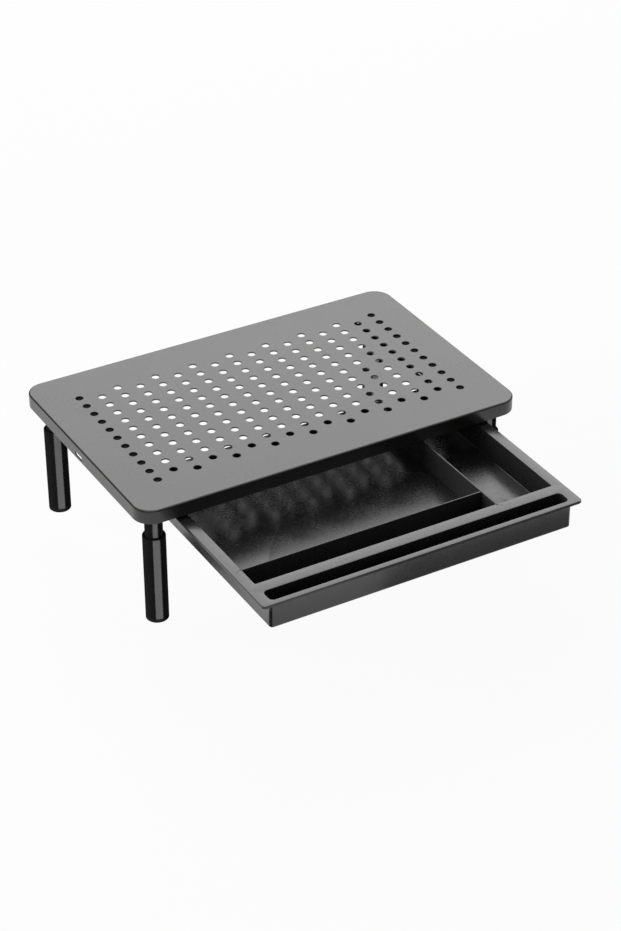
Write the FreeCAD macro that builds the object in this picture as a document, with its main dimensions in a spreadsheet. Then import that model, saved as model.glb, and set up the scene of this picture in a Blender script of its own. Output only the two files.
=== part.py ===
import FreeCAD, Part
import math
import os
import re

import Sketcher

# A laptop stand: a perforated steel platform on four legs of adjustable height, with a moulded
# drawer that slides on two rails below the platform.
#
# Frame: millimetres, +Z up, +Y to the back, the drawer opens to the front (-Y). The origin is on the
# desk, at the middle of the footprint that the stand covers with its drawer pulled out. Pieces are
# drawn around the middle of the platform, or a leg's own axis, and their Placement moves them there.

# Driving dimensions: the spreadsheet's aliases with millimetres, degrees or numbers of copies.
SIZES = {
    # Platform: one pressed sheet with a skirt
    "platform_length": 370.0,
    "platform_depth": 235.0,
    "platform_corner": 17.0,
    "sheet_thickness": 1.2,
    "skirt_drop": 13.0,
    "edge_bend": 1.5,
    "stand_height": 121.0,
    # Vent holes: long columns alternate with columns one hole shorter, set half a pitch along
    "vent_diameter": 7.0,
    "vent_column_pitch": 18.66,
    "vent_row_pitch": 15.16,
    "vent_long_columns": 9,
    "vent_long_rows": 11,
    # Oblong slot in each side skirt
    "side_slot_length": 13.5,
    "side_slot_width": 3.4,
    "side_slot_drop": 8.8,
    "side_slot_setback": 3.0,
    # Legs: a post fixed to the platform in a sleeve that stands on the desk
    "leg_inset_x": 19.8,
    "leg_inset_y": 20.2,
    "post_diameter": 15.5,
    "post_wall": 1.5,
    "post_engagement": 29.0,
    "sleeve_diameter": 20.0,
    "sleeve_wall": 1.2,
    "sleeve_drop": 36.8,
    "sleeve_rim_chamfer": 0.5,
    "height_step": 20.0,
    # Guide ring between post and sleeve, keyed to the post and snapped into the sleeve by a bead
    "ring_clearance": 0.1,
    "ring_recess": 2.0,
    "ring_height": 25.0,
    "ring_split": 1.2,
    "bead_drop": 4.0,
    "bead_height": 1.6,
    "bead_depth": 0.4,
    "bead_play": 0.2,
    "key_width": 2.6,
    "key_height": 6.0,
    "key_reach": 1.1,
    "key_play": 0.3,
    # Twist stop: a nub in the sleeve travels in a notch of the ring
    "twist_range": 60.0,
    "nub_angle": 15.0,
    "nub_play_angle": 1.0,
    "nub_height": 3.0,
    "nub_play": 0.4,
    # Feet
    "foot_height": 4.0,
    "foot_rounding": 1.2,
    "foot_plug_height": 9.0,
    "foot_plug_play": 0.05,
    # Studs welded over the legs, and the threaded plugs in the posts that they screw into
    "leg_stud_diameter": 8.0,
    "leg_stud_length": 18.0,
    "leg_plug_height": 16.0,
    "thread_play": 0.05,
    # Drawer tray: a tub that hangs from a flange
    "drawer_rear_gap": 13.5,
    "flange_thickness": 2.5,
    "flange_corner": 3.6,
    "flange_side_overhang": 8.4,
    "flange_front_overhang": 3.6,
    "flange_rear_overhang": 3.0,
    "drawer_gap": 2.0,
    "drawer_travel": 143.0,
    "tray_height": 25.5,
    "tray_wall": 1.6,
    "tray_floor": 2.0,
    "tray_corner": 3.0,
    "tray_bottom_rounding": 1.2,
    "front_strip": 5.5,
    "front_slot": 14.0,
    "front_slot_corner": 4.0,
    "front_bar": 12.0,
    "stop_lug_width": 5.2,
    "stop_lug_gap": 1.3,
    # Drawer dividers: plates held in grooves of the tray
    "divider_thickness": 1.4,
    "divider_groove": 0.8,
    "divider_play": 0.05,
    "divider_tab": 1.2,
    "divider_tab_height": 6.0,
    "side_compartment": 55.3,
    "pencil_compartment": 22.4,
    # Rails: E-shaped section, the drawer's flange runs between the two lower lips
    "rail_leg_gap": 1.4,
    "rail_top_width": 19.5,
    "rail_top_thickness": 2.0,
    "rail_web": 1.6,
    "rail_lip": 1.8,
    "rail_lip_gap": 1.7,
    "rail_play": 0.3,
    "rail_side_play": 0.5,
    "rail_front_setback": 9.5,
    "rail_end_wall": 2.0,
    "rail_stop": 3.0,
    # Studs welded under the platform and nuts that hold the rails
    "rail_stud_inset": 13.8,
    "rail_stud_diameter": 4.0,
    "rail_stud_length": 7.0,
    "rail_stud_count": 4,
    "rail_stud_end": 24.65,
    "rail_hole_play": 0.25,
    "nut_width": 7.0,
    "nut_height": 3.2,
}

# Heights above the desk, as formulas of the driving dimensions.
UNDERSIDE = "(stand_height - sheet_thickness)"
SKIRT_BOTTOM = "(stand_height - skirt_drop)"
FLANGE_TOP = "(stand_height - skirt_drop - drawer_gap)"
FLANGE_BOTTOM = f"({FLANGE_TOP} - flange_thickness)"
TRAY_BOTTOM = f"({FLANGE_TOP} - tray_height)"
FLOOR_TOP = f"({TRAY_BOTTOM} + tray_floor)"
SLEEVE_TOP = "(stand_height - sleeve_drop)"
POST_BOTTOM = f"({SLEEVE_TOP} - height_step - post_engagement)"
RING_TOP = f"({SLEEVE_TOP} - ring_recess)"
RING_BOTTOM = f"({RING_TOP} - ring_height)"
BEAD_TOP = f"({RING_TOP} - bead_drop)"
BEAD_BOTTOM = f"({BEAD_TOP} - bead_height)"

# Radii around a leg's axis.
POST_RADIUS = "(post_diameter / 2)"
POST_BORE = f"({POST_RADIUS} - post_wall)"
SLEEVE_RADIUS = "(sleeve_diameter / 2)"
SLEEVE_BORE = f"({SLEEVE_RADIUS} - sleeve_wall)"
RING_BORE = f"({POST_RADIUS} + ring_clearance)"
RING_RADIUS = f"({SLEEVE_BORE} - ring_clearance)"
RING_MIDDLE = f"(({RING_BORE} + {RING_RADIUS}) / 2)"

# Where the platform's and the drawer's own frames lie along Y.
PLATFORM_Y = "(drawer_travel / 2)"
DRAWER_Y = f"({PLATFORM_Y} - drawer_travel)"
LEG_X = "(platform_length / 2 - leg_inset_x)"
LEG_Y = "(platform_depth / 2 - leg_inset_y)"

# Sides of the rails, which stand clear of the sleeves, and of the drawer's flange between them.
RAIL_SIDE = f"({LEG_X} - {SLEEVE_RADIUS} - rail_leg_gap)"
RAIL_CHANNEL_SIDE = f"({RAIL_SIDE} - rail_web)"
FLANGE_SIDE = f"({RAIL_CHANNEL_SIDE} - rail_side_play)"

# The closed drawer, from the middle of the platform.
FLANGE_FRONT = "(-platform_depth / 2)"
FLANGE_REAR = "(platform_depth / 2 - drawer_rear_gap)"
TUB_SIDE = f"({FLANGE_SIDE} - flange_side_overhang)"
TUB_FRONT = f"({FLANGE_FRONT} + flange_front_overhang)"
TUB_REAR = f"({FLANGE_REAR} - flange_rear_overhang)"
INNER_SIDE = f"({TUB_SIDE} - tray_wall)"
SLOT_FRONT = f"({FLANGE_FRONT} + front_strip)"
SLOT_REAR = f"({SLOT_FRONT} + front_slot)"
MAIN_FRONT = f"({SLOT_REAR} + front_bar)"
MAIN_REAR = f"({TUB_REAR} - tray_wall)"
LONG_DIVIDER_X = f"({INNER_SIDE} - side_compartment)"
CROSS_DIVIDER_Y = f"({MAIN_FRONT} + pencil_compartment)"

# The rest of the rails' section, from the middle of the platform.
RAIL_TOP_EDGE = f"({RAIL_SIDE} - rail_top_width)"
RAIL_LIP_EDGE = f"({TUB_SIDE} + rail_lip_gap)"
RAIL_TOP_BELOW = f"({UNDERSIDE} - rail_top_thickness)"
UPPER_LIP_BOTTOM = f"({FLANGE_TOP} + rail_play)"
UPPER_LIP_TOP = f"({UPPER_LIP_BOTTOM} + rail_lip)"
LOWER_LIP_TOP = f"({FLANGE_BOTTOM} - rail_play)"
LOWER_LIP_BOTTOM = f"({LOWER_LIP_TOP} - rail_lip)"
RAIL_FRONT = f"({FLANGE_FRONT} + rail_front_setback)"
RAIL_END_FRONT = f"({FLANGE_REAR} + rail_play)"
RAIL_REAR = f"({RAIL_END_FRONT} + rail_end_wall)"
RAIL_STUD_BOTTOM = f"({UNDERSIDE} - rail_stud_length)"
STOP_REAR = f"({MAIN_REAR} - drawer_travel - rail_play)"
STOP_TOP = f"({RAIL_STUD_BOTTOM} - rail_play)"
STOP_LUG_SIDE = f"({RAIL_LIP_EDGE} - rail_play)"
STOP_LUG_EDGE = f"({STOP_LUG_SIDE} - stop_lug_width)"
STOP_LUG_TOP = f"({RAIL_STUD_BOTTOM} - stop_lug_gap)"
RAIL_STUD_X = f"({RAIL_SIDE} - rail_stud_inset)"
FIRST_STUD_Y = f"({RAIL_FRONT} + rail_stud_end)"
RAIL_STUD_PITCH = f"(({RAIL_REAR} - {RAIL_FRONT} - 2 * rail_stud_end) / (rail_stud_count - 1))"

# Names of the four corners with the side of each along X and Y, and of the two rails.
CORNERS = {
    "front_left": (-1, -1),
    "front_right": (1, -1),
    "rear_left": (-1, 1),
    "rear_right": (1, 1),
}
RAIL_SIDES = {"left": -1, "right": 1}

QUARTER_TURN = math.pi / 2
FULL_TURN = 360.0

# Flat sides of a hexagon nut.
NUT_SIDES = 6

# Points of a sketched edge, and the sketch's own origin, as the sketcher numbers them.
START, END, CENTRE = 1, 2, 3
ORIGIN = (-1, 1)

# Height within which an edge counts as lying flat at a level.
FLAT = 1e-4

# Gap in a pattern's list of spacings that stands for the pattern's own pitch.
OWN_PITCH = -1.0

doc = FreeCAD.newDocument("laptop_stand")


def make_sheet():
    """Spreadsheet with one row for each driving dimension: its name and its value."""
    sizes = doc.addObject("Spreadsheet::Sheet", "Sizes")
    for row, (alias, number) in enumerate(SIZES.items(), start=1):
        sizes.set(f"A{row}", alias)
        sizes.set(f"B{row}", str(number))
        sizes.setAlias(f"B{row}", alias)
    doc.recompute()
    return sizes


sheet = make_sheet()


def formula(text):
    """Turn each name of a driving dimension in a formula into a reference to its cell."""
    return re.sub(r"[a-z_]+", lambda word: "Sizes." + word[0] if word[0] in SIZES else word[0], text)


def value(text):
    """Number that a formula gives now."""
    return float(sheet.evalExpression(formula(text)))


def bind(item, name, text):
    """Bind a property of an object to a formula."""
    item.setExpression(name, formula(text))


def place(item, label, x="0", y="0", z="0"):
    """Give a piece its name and bind its place to formulas."""
    item.Label = label
    bind(item, "Placement.Base.x", x)
    bind(item, "Placement.Base.y", y)
    bind(item, "Placement.Base.z", z)


# Sketches


def sketch_on(body, name, plane, lift="0"):
    """Sketch on one of a body's origin planes, lifted along the plane's normal."""
    planes = {feature.Role: feature for feature in body.Origin.OriginFeatures}
    sketch = body.newObject("Sketcher::SketchObject", name)
    sketch.AttachmentSupport = [(planes[plane], "")]
    sketch.MapMode = "FlatFace"
    bind(sketch, ".AttachmentOffset.Base.z", lift)
    return sketch


def bind_constraint(sketch, kind, geometry, text):
    """Add a constraint whose datum follows a formula."""
    index = sketch.addConstraint(Sketcher.Constraint(kind, *geometry, value(text)))
    sketch.setExpression(f"Constraints[{index}]", formula(text))


def pin_vertex(sketch, edge, vertex, x, y):
    """Hold one end of an edge, or a circle's centre, at a place from the sketch's origin."""
    bind_constraint(sketch, "DistanceX", (*ORIGIN, edge, vertex), x)
    bind_constraint(sketch, "DistanceY", (*ORIGIN, edge, vertex), y)


def draw_polygon(sketch, corners):
    """Closed outline of straight edges through corners given as pairs of formulas."""
    points = [FreeCAD.Vector(value(x), value(y), 0) for x, y in corners]
    count = len(points)
    for index in range(count):
        sketch.addGeometry(Part.LineSegment(points[index], points[(index + 1) % count]))
    for index, (x, y) in enumerate(corners):
        sketch.addConstraint(Sketcher.Constraint("Coincident", index, END, (index + 1) % count, START))
        pin_vertex(sketch, index, START, x, y)
    return sketch


def draw_rectangle(sketch, low_x, high_x, low_y, high_y):
    """Rectangle between two pairs of formulas."""
    return draw_polygon(sketch, [(low_x, low_y), (high_x, low_y), (high_x, high_y), (low_x, high_y)])


def draw_rounded_rectangle(sketch, low_x, high_x, low_y, high_y, radius):
    """Rectangle with four equal round corners: straight sides 0 to 3, then corner arcs 4 to 7."""
    left, right, low, high, bend = (value(text) for text in (low_x, high_x, low_y, high_y, radius))
    sides = [
        ((left + bend, low), (right - bend, low)),
        ((right, low + bend), (right, high - bend)),
        ((right - bend, high), (left + bend, high)),
        ((left, high - bend), (left, low + bend)),
    ]
    centres = [
        (right - bend, low + bend),
        (right - bend, high - bend),
        (left + bend, high - bend),
        (left + bend, low + bend),
    ]
    up = FreeCAD.Vector(0, 0, 1)
    for start, end in sides:
        sketch.addGeometry(Part.LineSegment(FreeCAD.Vector(*start, 0), FreeCAD.Vector(*end, 0)))
    for quarter, centre in enumerate(centres):
        circle = Part.Circle(FreeCAD.Vector(*centre, 0), up, bend)
        start = (quarter - 1) * QUARTER_TURN
        sketch.addGeometry(Part.ArcOfCircle(circle, start, start + QUARTER_TURN))
    for side in range(len(sides)):
        corner = len(sides) + side
        sketch.addConstraint(Sketcher.Constraint("Tangent", side, END, corner, START))
        sketch.addConstraint(Sketcher.Constraint("Tangent", corner, END, (side + 1) % len(sides), START))
        sketch.addConstraint(Sketcher.Constraint("Vertical" if side % 2 else "Horizontal", side))
    for corner in range(len(sides) + 1, 2 * len(sides)):
        sketch.addConstraint(Sketcher.Constraint("Equal", len(sides), corner))
    bind_constraint(sketch, "Radius", (len(sides),), radius)
    limits = (("DistanceY", low_y), ("DistanceX", high_x), ("DistanceY", high_y), ("DistanceX", low_x))
    for side, (direction, text) in enumerate(limits):
        bind_constraint(sketch, direction, (*ORIGIN, side, START), text)
    return sketch


def draw_circle(sketch, x, y, radius):
    """Circle around a place given by two formulas."""
    centre = FreeCAD.Vector(value(x), value(y), 0)
    edge = sketch.addGeometry(Part.Circle(centre, FreeCAD.Vector(0, 0, 1), value(radius)))
    bind_constraint(sketch, "Radius", (edge,), radius)
    pin_vertex(sketch, edge, CENTRE, x, y)
    return sketch


def draw_oblong(sketch, x, y, length, width):
    """Slot outline along the sketch's X: two straight sides joined by two half circles."""
    bend = f"({width} / 2)"
    right, left = f"({x} + {length} / 2 - {bend})", f"({x} - {length} / 2 + {bend})"
    up = FreeCAD.Vector(0, 0, 1)
    for start_x, end_x, side in ((left, right, -1), (right, left, 1)):
        level = value(y) + side * value(bend)
        start = FreeCAD.Vector(value(start_x), level, 0)
        end = FreeCAD.Vector(value(end_x), level, 0)
        sketch.addGeometry(Part.LineSegment(start, end))
        circle = Part.Circle(FreeCAD.Vector(value(end_x), value(y), 0), up, value(bend))
        sketch.addGeometry(Part.ArcOfCircle(circle, side * QUARTER_TURN, (side + 2) * QUARTER_TURN))
    right_arc, left_arc = 1, 3
    count = sketch.GeometryCount
    for edge in range(count):
        sketch.addConstraint(Sketcher.Constraint("Tangent", edge, END, (edge + 1) % count, START))
    sketch.addConstraint(Sketcher.Constraint("Equal", right_arc, left_arc))
    bind_constraint(sketch, "Radius", (right_arc,), bend)
    pin_vertex(sketch, right_arc, CENTRE, right, y)
    pin_vertex(sketch, left_arc, CENTRE, left, y)
    return sketch


# Features of a body


def make_body(label, x="0", y="0", z="0"):
    """Body with a name and a place of its own."""
    body = doc.addObject("PartDesign::Body", label)
    place(body, label, x, y, z)
    return body


def add_pad(body, name, sketch, length, flip=False, symmetric=False):
    """Extrude a sketch along its normal, or against it, or half each way."""
    pad = body.newObject("PartDesign::Pad", name)
    pad.Profile = sketch
    pad.SideType = "Symmetric" if symmetric else "One side"
    pad.Reversed = flip
    bind(pad, "Length", length)
    return pad


def add_pocket(body, name, sketch, length, flip=False, symmetric=False):
    """Cut a sketch against its normal, or along it if flipped, or half each way."""
    pocket = body.newObject("PartDesign::Pocket", name)
    pocket.Profile = sketch
    pocket.SideType = "Symmetric" if symmetric else "One side"
    pocket.Reversed = flip
    bind(pocket, "Length", length)
    return pocket


def add_revolution(body, name, sketch):
    """Turn a sketch on the XZ plane once round the body's Z axis."""
    turned = body.newObject("PartDesign::Revolution", name)
    turned.Profile = sketch
    turned.ReferenceAxis = (sketch, ["V_Axis"])
    turned.Angle = FULL_TURN
    return turned


def add_fillet(body, name, base, on_edge, radius):
    """Round the edges of a feature that a test picks out."""
    doc.recompute()
    names = [f"Edge{index}" for index, edge in enumerate(base.Shape.Edges, start=1) if on_edge(edge)]
    fillet = body.newObject("PartDesign::Fillet", name)
    fillet.Base = (base, names)
    bind(fillet, "Radius", radius)
    return fillet


def lies_at(height):
    """Test for edges that lie flat at a height given by a formula."""
    level = value(height)

    def test(edge):
        box = edge.BoundBox
        return max(abs(box.ZMin - level), abs(box.ZMax - level)) < FLAT

    return test


def add_grid(body, name, feature, sketch, copies_x, pitch_x, copies_y, pitch_y):
    """Repeat a feature in rows and columns along its sketch's axes."""
    grid = body.newObject("PartDesign::LinearPattern", name)
    grid.Originals = [feature]
    grid.Direction = (sketch, ["H_Axis"])
    grid.Mode = "Spacing"
    bind(grid, "Occurrences", copies_x)
    bind(grid, "Offset", pitch_x)
    grid.Direction2 = (sketch, ["V_Axis"])
    grid.Mode2 = "Spacing"
    grid.Spacings2 = [OWN_PITCH]
    bind(grid, "Occurrences2", copies_y)
    bind(grid, "Offset2", pitch_y)
    body.Tip = grid
    return grid


# Plain solids that make a group


def make_cylinder(name, radius, height, x, y, z):
    """Upright cylinder that stands on a place."""
    cylinder = doc.addObject("Part::Cylinder", name)
    bind(cylinder, "Radius", radius)
    bind(cylinder, "Height", height)
    place(cylinder, name, x, y, z)
    return cylinder


def make_cut(name, solid, tool):
    """One solid less another."""
    cut = doc.addObject("Part::Cut", name)
    cut.Base = solid
    cut.Tool = tool
    cut.Label = name
    return cut


def make_group(label, members):
    """Identical separate solids that share one name, around the middle of the platform."""
    group = doc.addObject("Part::Compound", label)
    group.Links = members
    place(group, label, y=PLATFORM_Y)
    return group


# Platform


def make_platform():
    """Pressed sheet: flat top with vent holes, round corners and a skirt with two slots."""
    body = make_body("platform", y=PLATFORM_Y)
    half_x, half_y = "platform_length / 2", "platform_depth / 2"
    outline = sketch_on(body, "platform_outline", "XY_Plane", SKIRT_BOTTOM)
    draw_rounded_rectangle(outline, f"-{half_x}", half_x, f"-{half_y}", half_y, "platform_corner")
    blank = add_pad(body, "platform_blank", outline, "skirt_drop")
    add_fillet(body, "platform_bend", blank, lies_at("stand_height"), "edge_bend")

    inner_x, inner_y = f"({half_x} - sheet_thickness)", f"({half_y} - sheet_thickness)"
    inside = sketch_on(body, "platform_inside", "XY_Plane", SKIRT_BOTTOM)
    inner_corner = "(platform_corner - sheet_thickness)"
    draw_rounded_rectangle(inside, f"-{inner_x}", inner_x, f"-{inner_y}", inner_y, inner_corner)
    add_pocket(body, "platform_hollow", inside, "skirt_drop - sheet_thickness", flip=True)

    side = sketch_on(body, "side_slot_outline", "YZ_Plane")
    side_slot_z = "(stand_height - side_slot_drop)"
    draw_oblong(side, "side_slot_setback", side_slot_z, "side_slot_length", "side_slot_width")
    add_pocket(body, "side_slots", side, "platform_length", symmetric=True)

    for kind, columns, rows in (
        ("long", "vent_long_columns", "vent_long_rows"),
        ("short", "(vent_long_columns - 1)", "(vent_long_rows - 1)"),
    ):
        hole = sketch_on(body, f"{kind}_vent_outline", "XY_Plane", "stand_height")
        first_x = f"(-({columns} - 1) * vent_column_pitch)"
        first_y = f"(-({rows} - 1) * vent_row_pitch / 2)"
        draw_circle(hole, first_x, first_y, "(vent_diameter / 2)")
        vent = add_pocket(body, f"{kind}_vent", hole, "2 * sheet_thickness")
        spacing = "(2 * vent_column_pitch)"
        add_grid(body, f"{kind}_vents", vent, hole, columns, spacing, rows, "vent_row_pitch")
    return body


def make_leg_studs():
    """Threaded studs welded under the platform, one over each leg."""
    studs = []
    for corner, (side_x, side_y) in CORNERS.items():
        bottom = f"({UNDERSIDE} - leg_stud_length)"
        place_xy = f"{side_x} * {LEG_X}", f"{side_y} * {LEG_Y}"
        radius = "leg_stud_diameter / 2"
        studs.append(make_cylinder(f"leg_stud_{corner}", radius, "leg_stud_length", *place_xy, bottom))
    return make_group("leg_studs", studs)


def rail_stud_places():
    """Name and place of each rail stud, as formulas."""
    places = []
    for rail, side in RAIL_SIDES.items():
        for index in range(int(SIZES["rail_stud_count"])):
            y = f"({FIRST_STUD_Y} + {index} * {RAIL_STUD_PITCH})"
            places.append((f"{rail}_{index}", f"({side} * {RAIL_STUD_X})", y))
    return places


def make_rail_studs():
    """Threaded studs welded under the platform, in a row along each rail."""
    studs = []
    for name, x, y in rail_stud_places():
        radius, height = "rail_stud_diameter / 2", "rail_stud_length"
        studs.append(make_cylinder(f"rail_stud_{name}", radius, height, x, y, RAIL_STUD_BOTTOM))
    return make_group("rail_studs", studs)


def make_rail_nuts():
    """Hexagon nuts that hold the rails' top flanges up against the platform."""
    nuts = []
    for name, x, y in rail_stud_places():
        bottom = f"({RAIL_TOP_BELOW} - nut_height)"
        prism = doc.addObject("Part::Prism", f"nut_blank_{name}")
        prism.Polygon = NUT_SIDES
        bind(prism, "Circumradius", f"nut_width / 2 / cos({FULL_TURN / 2 / NUT_SIDES} deg)")
        bind(prism, "Height", "nut_height")
        place(prism, prism.Name, x, y, bottom)
        radius = "rail_stud_diameter / 2 + thread_play"
        bore = make_cylinder(f"nut_bore_{name}", radius, "nut_height", x, y, bottom)
        nuts.append(make_cut(f"nut_{name}", prism, bore))
    return make_group("rail_nuts", nuts)


# Rails


def make_rail(rail, side):
    """E-shaped rail: a top flange under the platform, a web, and two lips round the drawer's flange."""
    body = make_body(f"rail_{rail}", y=PLATFORM_Y)
    section = sketch_on(body, f"rail_{rail}_section", "XZ_Plane", f"-{RAIL_FRONT}")
    corners = [
        (RAIL_TOP_EDGE, UNDERSIDE),
        (RAIL_SIDE, UNDERSIDE),
        (RAIL_SIDE, LOWER_LIP_BOTTOM),
        (RAIL_LIP_EDGE, LOWER_LIP_BOTTOM),
        (RAIL_LIP_EDGE, LOWER_LIP_TOP),
        (RAIL_CHANNEL_SIDE, LOWER_LIP_TOP),
        (RAIL_CHANNEL_SIDE, UPPER_LIP_BOTTOM),
        (RAIL_LIP_EDGE, UPPER_LIP_BOTTOM),
        (RAIL_LIP_EDGE, UPPER_LIP_TOP),
        (RAIL_CHANNEL_SIDE, UPPER_LIP_TOP),
        (RAIL_CHANNEL_SIDE, RAIL_TOP_BELOW),
        (RAIL_TOP_EDGE, RAIL_TOP_BELOW),
    ]
    draw_polygon(section, [(f"({side} * {x})", z) for x, z in corners])
    add_pad(body, f"rail_{rail}_bar", section, f"{RAIL_REAR} - {RAIL_FRONT}", flip=True)

    for name, start, length, edge, low, high in (
        ("end", RAIL_END_FRONT, "rail_end_wall", RAIL_LIP_EDGE, LOWER_LIP_TOP, UPPER_LIP_BOTTOM),
        ("stop", f"({STOP_REAR} - rail_stop)", "rail_stop", STOP_LUG_EDGE, UPPER_LIP_TOP, STOP_TOP),
    ):
        wall = sketch_on(body, f"rail_{rail}_{name}_outline", "XZ_Plane", f"-{start}")
        side_x = f"({side} * {edge})", f"({side} * {RAIL_CHANNEL_SIDE})"
        draw_rectangle(wall, *side_x, low, high)
        add_pad(body, f"rail_{rail}_{name}", wall, length, flip=True)

    hole = sketch_on(body, f"rail_{rail}_hole_outline", "XY_Plane", UNDERSIDE)
    draw_circle(hole, f"({side} * {RAIL_STUD_X})", FIRST_STUD_Y, "(rail_stud_diameter / 2 + rail_hole_play)")
    bore = add_pocket(body, f"rail_{rail}_hole", hole, "rail_top_thickness")
    row = body.newObject("PartDesign::LinearPattern", f"rail_{rail}_holes")
    row.Originals = [bore]
    row.Direction = (hole, ["V_Axis"])
    row.Mode = "Spacing"
    bind(row, "Occurrences", "rail_stud_count")
    bind(row, "Offset", RAIL_STUD_PITCH)
    body.Tip = row
    return body


# Legs


def make_leg_body(name, corner):
    """Body drawn around the axis of one leg."""
    side_x, side_y = CORNERS[corner]
    return make_body(f"{name}_{corner}", f"{side_x} * {LEG_X}", f"{PLATFORM_Y} + {side_y} * {LEG_Y}")


def make_leg_plugs():
    """Threaded plugs pressed into the tops of the posts."""
    plugs = []
    outer, inner = f"{POST_BORE} - thread_play", "leg_stud_diameter / 2 + thread_play"
    for corner, (side_x, side_y) in CORNERS.items():
        place_xyz = f"{side_x} * {LEG_X}", f"{side_y} * {LEG_Y}", f"({UNDERSIDE} - leg_plug_height)"
        blank = make_cylinder(f"plug_blank_{corner}", outer, "leg_plug_height", *place_xyz)
        thread = make_cylinder(f"plug_bore_{corner}", inner, "leg_plug_height", *place_xyz)
        plugs.append(make_cut(f"plug_{corner}", blank, thread))
    return make_group("leg_plugs", plugs)


def make_post(corner):
    """Tube fixed under the platform, with a keyway at its back for the guide ring."""
    body = make_leg_body("leg_post", corner)
    section = sketch_on(body, f"post_section_{corner}", "XY_Plane", POST_BOTTOM)
    draw_circle(section, "0", "0", POST_RADIUS)
    draw_circle(section, "0", "0", POST_BORE)
    add_pad(body, f"post_tube_{corner}", section, f"{UNDERSIDE} - {POST_BOTTOM}")

    keyway = sketch_on(body, f"keyway_outline_{corner}", "XZ_Plane")
    half_width = "(key_width / 2 + key_play / 2)"
    low = f"({RING_BOTTOM} - height_step - key_play)"
    high = f"({RING_BOTTOM} + key_height + height_step + key_play)"
    draw_rectangle(keyway, f"-{half_width}", half_width, low, high)
    add_pocket(body, f"keyway_{corner}", keyway, POST_RADIUS)
    return body


def make_ring(corner):
    """Split guide ring: slides on the post by a key, and carries the sleeve, which turns on it."""
    body = make_leg_body("lock_ring", corner)
    section = sketch_on(body, f"ring_section_{corner}", "XZ_Plane")
    bead = f"({RING_RADIUS} + bead_depth)"
    draw_polygon(section, [
        (RING_BORE, RING_BOTTOM),
        (RING_RADIUS, RING_BOTTOM),
        (RING_RADIUS, BEAD_BOTTOM),
        (bead, BEAD_BOTTOM),
        (bead, BEAD_TOP),
        (RING_RADIUS, BEAD_TOP),
        (RING_RADIUS, RING_TOP),
        (RING_BORE, RING_TOP),
    ])
    add_revolution(body, f"ring_turned_{corner}", section)

    key = sketch_on(body, f"key_outline_{corner}", "XY_Plane", RING_BOTTOM)
    draw_rectangle(key, "-key_width / 2", "key_width / 2", f"({POST_RADIUS} - key_reach)", RING_MIDDLE)
    add_pad(body, f"key_{corner}", key, "key_height")

    split = sketch_on(body, f"split_outline_{corner}", "XZ_Plane")
    draw_rectangle(split, "-ring_split / 2", "ring_split / 2", RING_BOTTOM, RING_TOP)
    add_pocket(body, f"split_{corner}", split, SLEEVE_RADIUS, flip=True)

    notch = sketch_on(body, f"notch_outline_{corner}", "XY_Plane", RING_BOTTOM)
    half_angle = "((twist_range + nub_angle) / 2 + nub_play_angle)"
    reach = f"({SLEEVE_RADIUS} * tan({half_angle} * 1 deg))"
    draw_polygon(notch, [("0", "0"), (SLEEVE_RADIUS, f"-{reach}"), (SLEEVE_RADIUS, reach)])
    add_pocket(body, f"notch_{corner}", notch, "nub_height + nub_play", flip=True)
    return body


def make_sleeve(corner):
    """Tube that stands on the desk through its foot, with a groove and a nub inside for the ring."""
    body = make_leg_body("leg_sleeve", corner)
    section = sketch_on(body, f"sleeve_section_{corner}", "XZ_Plane")
    groove = f"({SLEEVE_BORE} + bead_depth)"
    draw_polygon(section, [
        (SLEEVE_BORE, "foot_height"),
        (SLEEVE_RADIUS, "foot_height"),
        (SLEEVE_RADIUS, f"({SLEEVE_TOP} - sleeve_rim_chamfer)"),
        (f"({SLEEVE_RADIUS} - sleeve_rim_chamfer)", SLEEVE_TOP),
        (SLEEVE_BORE, SLEEVE_TOP),
        (SLEEVE_BORE, f"({BEAD_TOP} + bead_play)"),
        (groove, f"({BEAD_TOP} + bead_play)"),
        (groove, f"({BEAD_BOTTOM} - bead_play)"),
        (SLEEVE_BORE, f"({BEAD_BOTTOM} - bead_play)"),
    ])
    add_revolution(body, f"sleeve_turned_{corner}", section)

    nub = sketch_on(body, f"nub_outline_{corner}", "XY_Plane", RING_BOTTOM)
    inner, outer = f"({POST_RADIUS} + nub_play)", f"({SLEEVE_BORE} + sleeve_wall / 2)"
    low, high = "((twist_range + nub_angle) / 2 * 1 deg)", "((twist_range - nub_angle) / 2 * 1 deg)"
    draw_polygon(nub, [
        (f"({radius} * cos({angle}))", f"(-{radius} * sin({angle}))")
        for radius, angle in ((inner, low), (outer, low), (outer, high), (inner, high))
    ])
    add_pad(body, f"nub_{corner}", nub, "nub_height")
    return body


def make_foot(corner):
    """Rubber foot with a plug that fills the sleeve's bottom end."""
    body = make_leg_body("foot", corner)
    section = sketch_on(body, f"foot_section_{corner}", "XZ_Plane")
    plug = f"({SLEEVE_BORE} - foot_plug_play)"
    plug_top = "(foot_height + foot_plug_height)"
    draw_polygon(section, [
        ("0", "0"),
        (SLEEVE_RADIUS, "0"),
        (SLEEVE_RADIUS, "foot_height"),
        (plug, "foot_height"),
        (plug, plug_top),
        ("0", plug_top),
    ])
    turned = add_revolution(body, f"foot_turned_{corner}", section)
    add_fillet(body, f"foot_rounding_{corner}", turned, lies_at("0"), "foot_rounding")
    return body


# Drawer


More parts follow.
